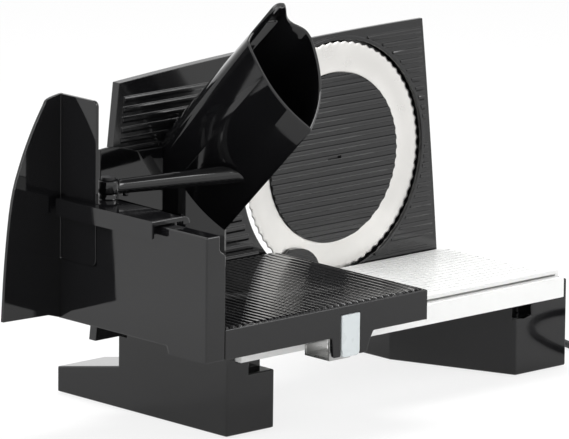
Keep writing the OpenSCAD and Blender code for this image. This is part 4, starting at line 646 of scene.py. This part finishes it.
class SLICER_OT_chute(bpy.types.Operator):
    """Builds the slanted feed chute with its rounded mouth, its lower guide and its hanging ear"""
    bl_idname = "slicer.chute"
    bl_label = "Feed chute"

    def execute(self, context):
        along = Vector((0, -math.cos(CHUTE_TILT), math.sin(CHUTE_TILT)))
        up = Vector((0, math.sin(CHUTE_TILT), math.cos(CHUTE_TILT)))
        out_of_mouth = Vector((0, -math.sin(MOUTH_LEAN), math.cos(MOUTH_LEAN)))
        mouth = KEEL_END + KEEL_L * along
        slope = up.dot(out_of_mouth) / along.dot(out_of_mouth)
        outer = relaxed(closed_spline([(x * CHUTE_W, y * CHUTE_H) for x, y in LEAF], LEAF_FINENESS), RELAX_ALL)
        outer = relaxed(outer, RELAX_LOW, RELAX_BELOW * CHUTE_H)
        near_outer = inset(outer, CHUTE_WALL * SHOULDER_SHARE)
        middle = inset(outer, CHUTE_WALL / 2)
        near_inner = inset(outer, CHUTE_WALL * (1 - SHOULDER_SHARE))
        inner = inset(outer, CHUTE_WALL)

        def point(q, s):
            return mouth + Vector((q[0], 0, 0)) + q[1] * up + s * along

        def low_end(q):
            stop = (mouth.y + q[1] * up.y - CHUTE_BACK) / -along.y
            return max(-q[1] * slope - KEEL_L, stop)

        points, faces, columns = [], [], []
        for q, a, m, b, w in zip(outer, near_outer, middle, near_inner, inner):
            s = low_end(q)
            rise = ear_height(q[0]) if q[1] > EAR_ABOVE * CHUTE_H else 0.0
            rim = [point(p, rise - p[1] * slope - LIP * back)
                   for p, back in ((w, LIP_EDGE), (b, LIP_SHOULDER), (m, 0), (a, LIP_SHOULDER), (q, LIP_EDGE))]
            ring = [point(w, max(low_end(w), s)), *rim, point(q, s)]
            foot = q[0] < FOOT_RIGHT and s <= -q[1] * slope - KEEL_L + 1e-6
            columns.append((len(points), foot))
            points += ring
            if foot:
                points += [Vector((p.x, p.y, TRAY_TOP + FOOT_GAP)) for p in (ring[0], ring[-1])]
        for (a, foot_a), (b, foot_b) in zip(columns, columns[1:] + columns[:1]):
            for k in range(6):
                faces.append((a + k, b + k, b + k + 1, a + k + 1))
            if foot_a and foot_b:
                faces.append((a + 6, b + 6, b + 8, a + 8))
                faces.append((a, a + 7, b + 7, b))
                faces.append((a + 7, a + 8, b + 8, b + 7))
            else:
                faces.append((a, a + 6, b + 6, b))
                if foot_a or foot_b:
                    edge = a if foot_a else b
                    faces.append((edge, edge + 6, edge + 8, edge + 7))
        tube = new_mesh("feed_chute", [at(*p) for p in points], faces, 32)
        paint(tube, "piano_black")
        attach(tube, "chute")
        # Hanging slot through the ear
        turns = [math.radians(-90 + 180 * k / SLOT_STEPS) for k in range(SLOT_STEPS + 1)]
        across = [(SLOT_X[0] - SLOT_R * math.cos(t), SLOT_R * math.sin(t)) for t in turns]
        across += [(SLOT_X[1] + SLOT_R * math.cos(t), SLOT_R * math.sin(t)) for t in reversed(turns)]
        start = SLOT_RISE - LEAF_TOP * CHUTE_H * slope
        loops = [at(*(mouth + Vector((x, 0, 0)) + z * up + (start + y) * along)) for z in SLOT_CUT for x, y in across]
        n = len(across)
        sides = [(k, (k + 1) % n, n + (k + 1) % n, n + k) for k in range(n)]
        cutter = new_mesh("slot_cutter", loops, sides + [tuple(range(n)), tuple(range(2 * n - 1, n - 1, -1))])
        cut_away(tube, cutter)
        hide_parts("chute_tube")
        return {"FINISHED"}


# Strain relief, in millimetres: the start and end of its section as radius and length, and its ribs
RELIEF_COLLAR = [
    (0.5, -4.6), (7, -4.6), (7, -2.7), (5, -2.6), (5, 0), (6.2, 0), (6.5, 0.3), (6.5, 2.6), (6.2, 3),
]
RELIEF_TIP = [(3.5, 23.7), (3.2, RELIEF_L), (2.75, RELIEF_L)]
RELIEF_RIBS = 7
RIB_R, RIB_TAPER, RIB_START, RIB_PITCH, RIB_HIGH = 5.2, 0.26, 3.2, 2.9, 0.7
# Plug, in millimetres: its sections as length, half width and half thickness, and how square they are
PLUG_SECTIONS = [
    (0, 2.9, 2.9), (0.6, 3.3, 3.3), (5, 3.9, 3.9), (10, 5.2, 4.8), (13.5, 6.6, 5.6), (15.5, 9.8, 6.4),
    (18.5, 12.2, 6.8), (24, 12.8, 6.9), (30, 13, 7), (35, 13, 7), (35.8, 12.6, 6.6), (36, 12, 6),
]
PLUG_SIDES = 40
PLUG_SQUARE = 0.72


def squared(value):
    """A sine or cosine, pushed out towards a square section."""
    return math.copysign(abs(value) ** PLUG_SQUARE, value)


class SLICER_OT_cord_ends(bpy.types.Operator):
    """Builds the ribbed strain relief and the moulded plug"""
    bl_idname = "slicer.cord_ends"
    bl_label = "Strain relief and plug"

    def execute(self, context):
        profile = list(RELIEF_COLLAR)
        for i in range(RELIEF_RIBS):
            r = RIB_R - i * RIB_TAPER
            x = RIB_START + i * RIB_PITCH
            profile += [(r - RIB_HIGH, x), (r - RIB_HIGH, x + 0.7), (r, x + 0.9), (r - 0.1, x + 2.6)]
        profile = [(r, x, 0) for r, x in profile + RELIEF_TIP]
        relief = lathe("ribbed_relief", profile, at(*RELIEF_AT), (1, 0, 0), 48, smooth=30)
        paint(relief, "matt_black")
        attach(relief, "frame")
        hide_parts("strain_relief")
        end = tail_points()[-1]
        points, faces = [], []
        for y, half, thick in PLUG_SECTIONS:
            for k in range(PLUG_SIDES):
                a = 2 * math.pi * k / PLUG_SIDES
                points.append(at(end[0] + half * squared(math.cos(a)), end[1] + y,
                                 PLUG_Z + thick * squared(math.sin(a))))
        last = (len(PLUG_SECTIONS) - 1) * PLUG_SIDES
        for row in range(0, last, PLUG_SIDES):
            for k in range(PLUG_SIDES):
                a, b = row + k, row + (k + 1) % PLUG_SIDES
                faces.append((a, b, b + PLUG_SIDES, a + PLUG_SIDES))
        faces.append(tuple(range(PLUG_SIDES)))
        faces.append(tuple(reversed(range(last, last + PLUG_SIDES))))
        plug = new_mesh("moulded_plug", points, faces, 35)
        paint(plug, "cord_rubber")
        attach(plug, "frame")
        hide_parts("plug_body")
        return {"FINISHED"}


class SLICER_OT_finishes(bpy.types.Operator):
    """Gives every node of the frame its finish and rounds its moulded edges"""
    bl_idname = "slicer.finishes"
    bl_label = "Finishes"

    def execute(self, context):
        scale = context.scene.slicer_finishes.edge_scale
        for name, nodes in NODE_FINISH.items():
            for node in nodes:
                paint(NODES[node], name)
        for node, width in EDGE_MM.items():
            round_edges(NODES[node], width * scale / MM)
        return {"FINISHED"}


class SLICER_PT_panel(bpy.types.Panel):
    bl_idname = "SLICER_PT_panel"
    bl_label = "Slicer"
    bl_space_type = "VIEW_3D"
    bl_region_type = "UI"
    bl_category = "Slicer"

    def draw(self, context):
        for group in (context.scene.slicer_studio, context.scene.slicer_finishes):
            for key in group.__annotations__:
                self.layout.prop(group, key)
        for step in STEPS:
            self.layout.operator(step.bl_idname)


STEPS = (SLICER_OT_studio, SLICER_OT_cord, SLICER_OT_cord_ends, SLICER_OT_blade, SLICER_OT_chute,
         SLICER_OT_tray_ribs, SLICER_OT_finishes)
CLASSES = (SlicerFinishes, SlicerStudio) + STEPS + (SLICER_PT_panel,)


def register():
    for item in CLASSES:
        bpy.utils.register_class(item)
    bpy.types.Scene.slicer_finishes = bpy.props.PointerProperty(type=SlicerFinishes)
    bpy.types.Scene.slicer_studio = bpy.props.PointerProperty(type=SlicerStudio)


def unregister():
    del bpy.types.Scene.slicer_studio
    del bpy.types.Scene.slicer_finishes
    for item in reversed(CLASSES):
        bpy.utils.unregister_class(item)


def main():
    register()
    bpy.ops.slicer.studio()
    bpy.ops.slicer.cord()
    bpy.ops.slicer.cord_ends()
    bpy.ops.slicer.blade()
    bpy.ops.slicer.chute()
    bpy.ops.slicer.tray_ribs()
    bpy.ops.slicer.finishes()


if __name__ == "__main__":
    main()
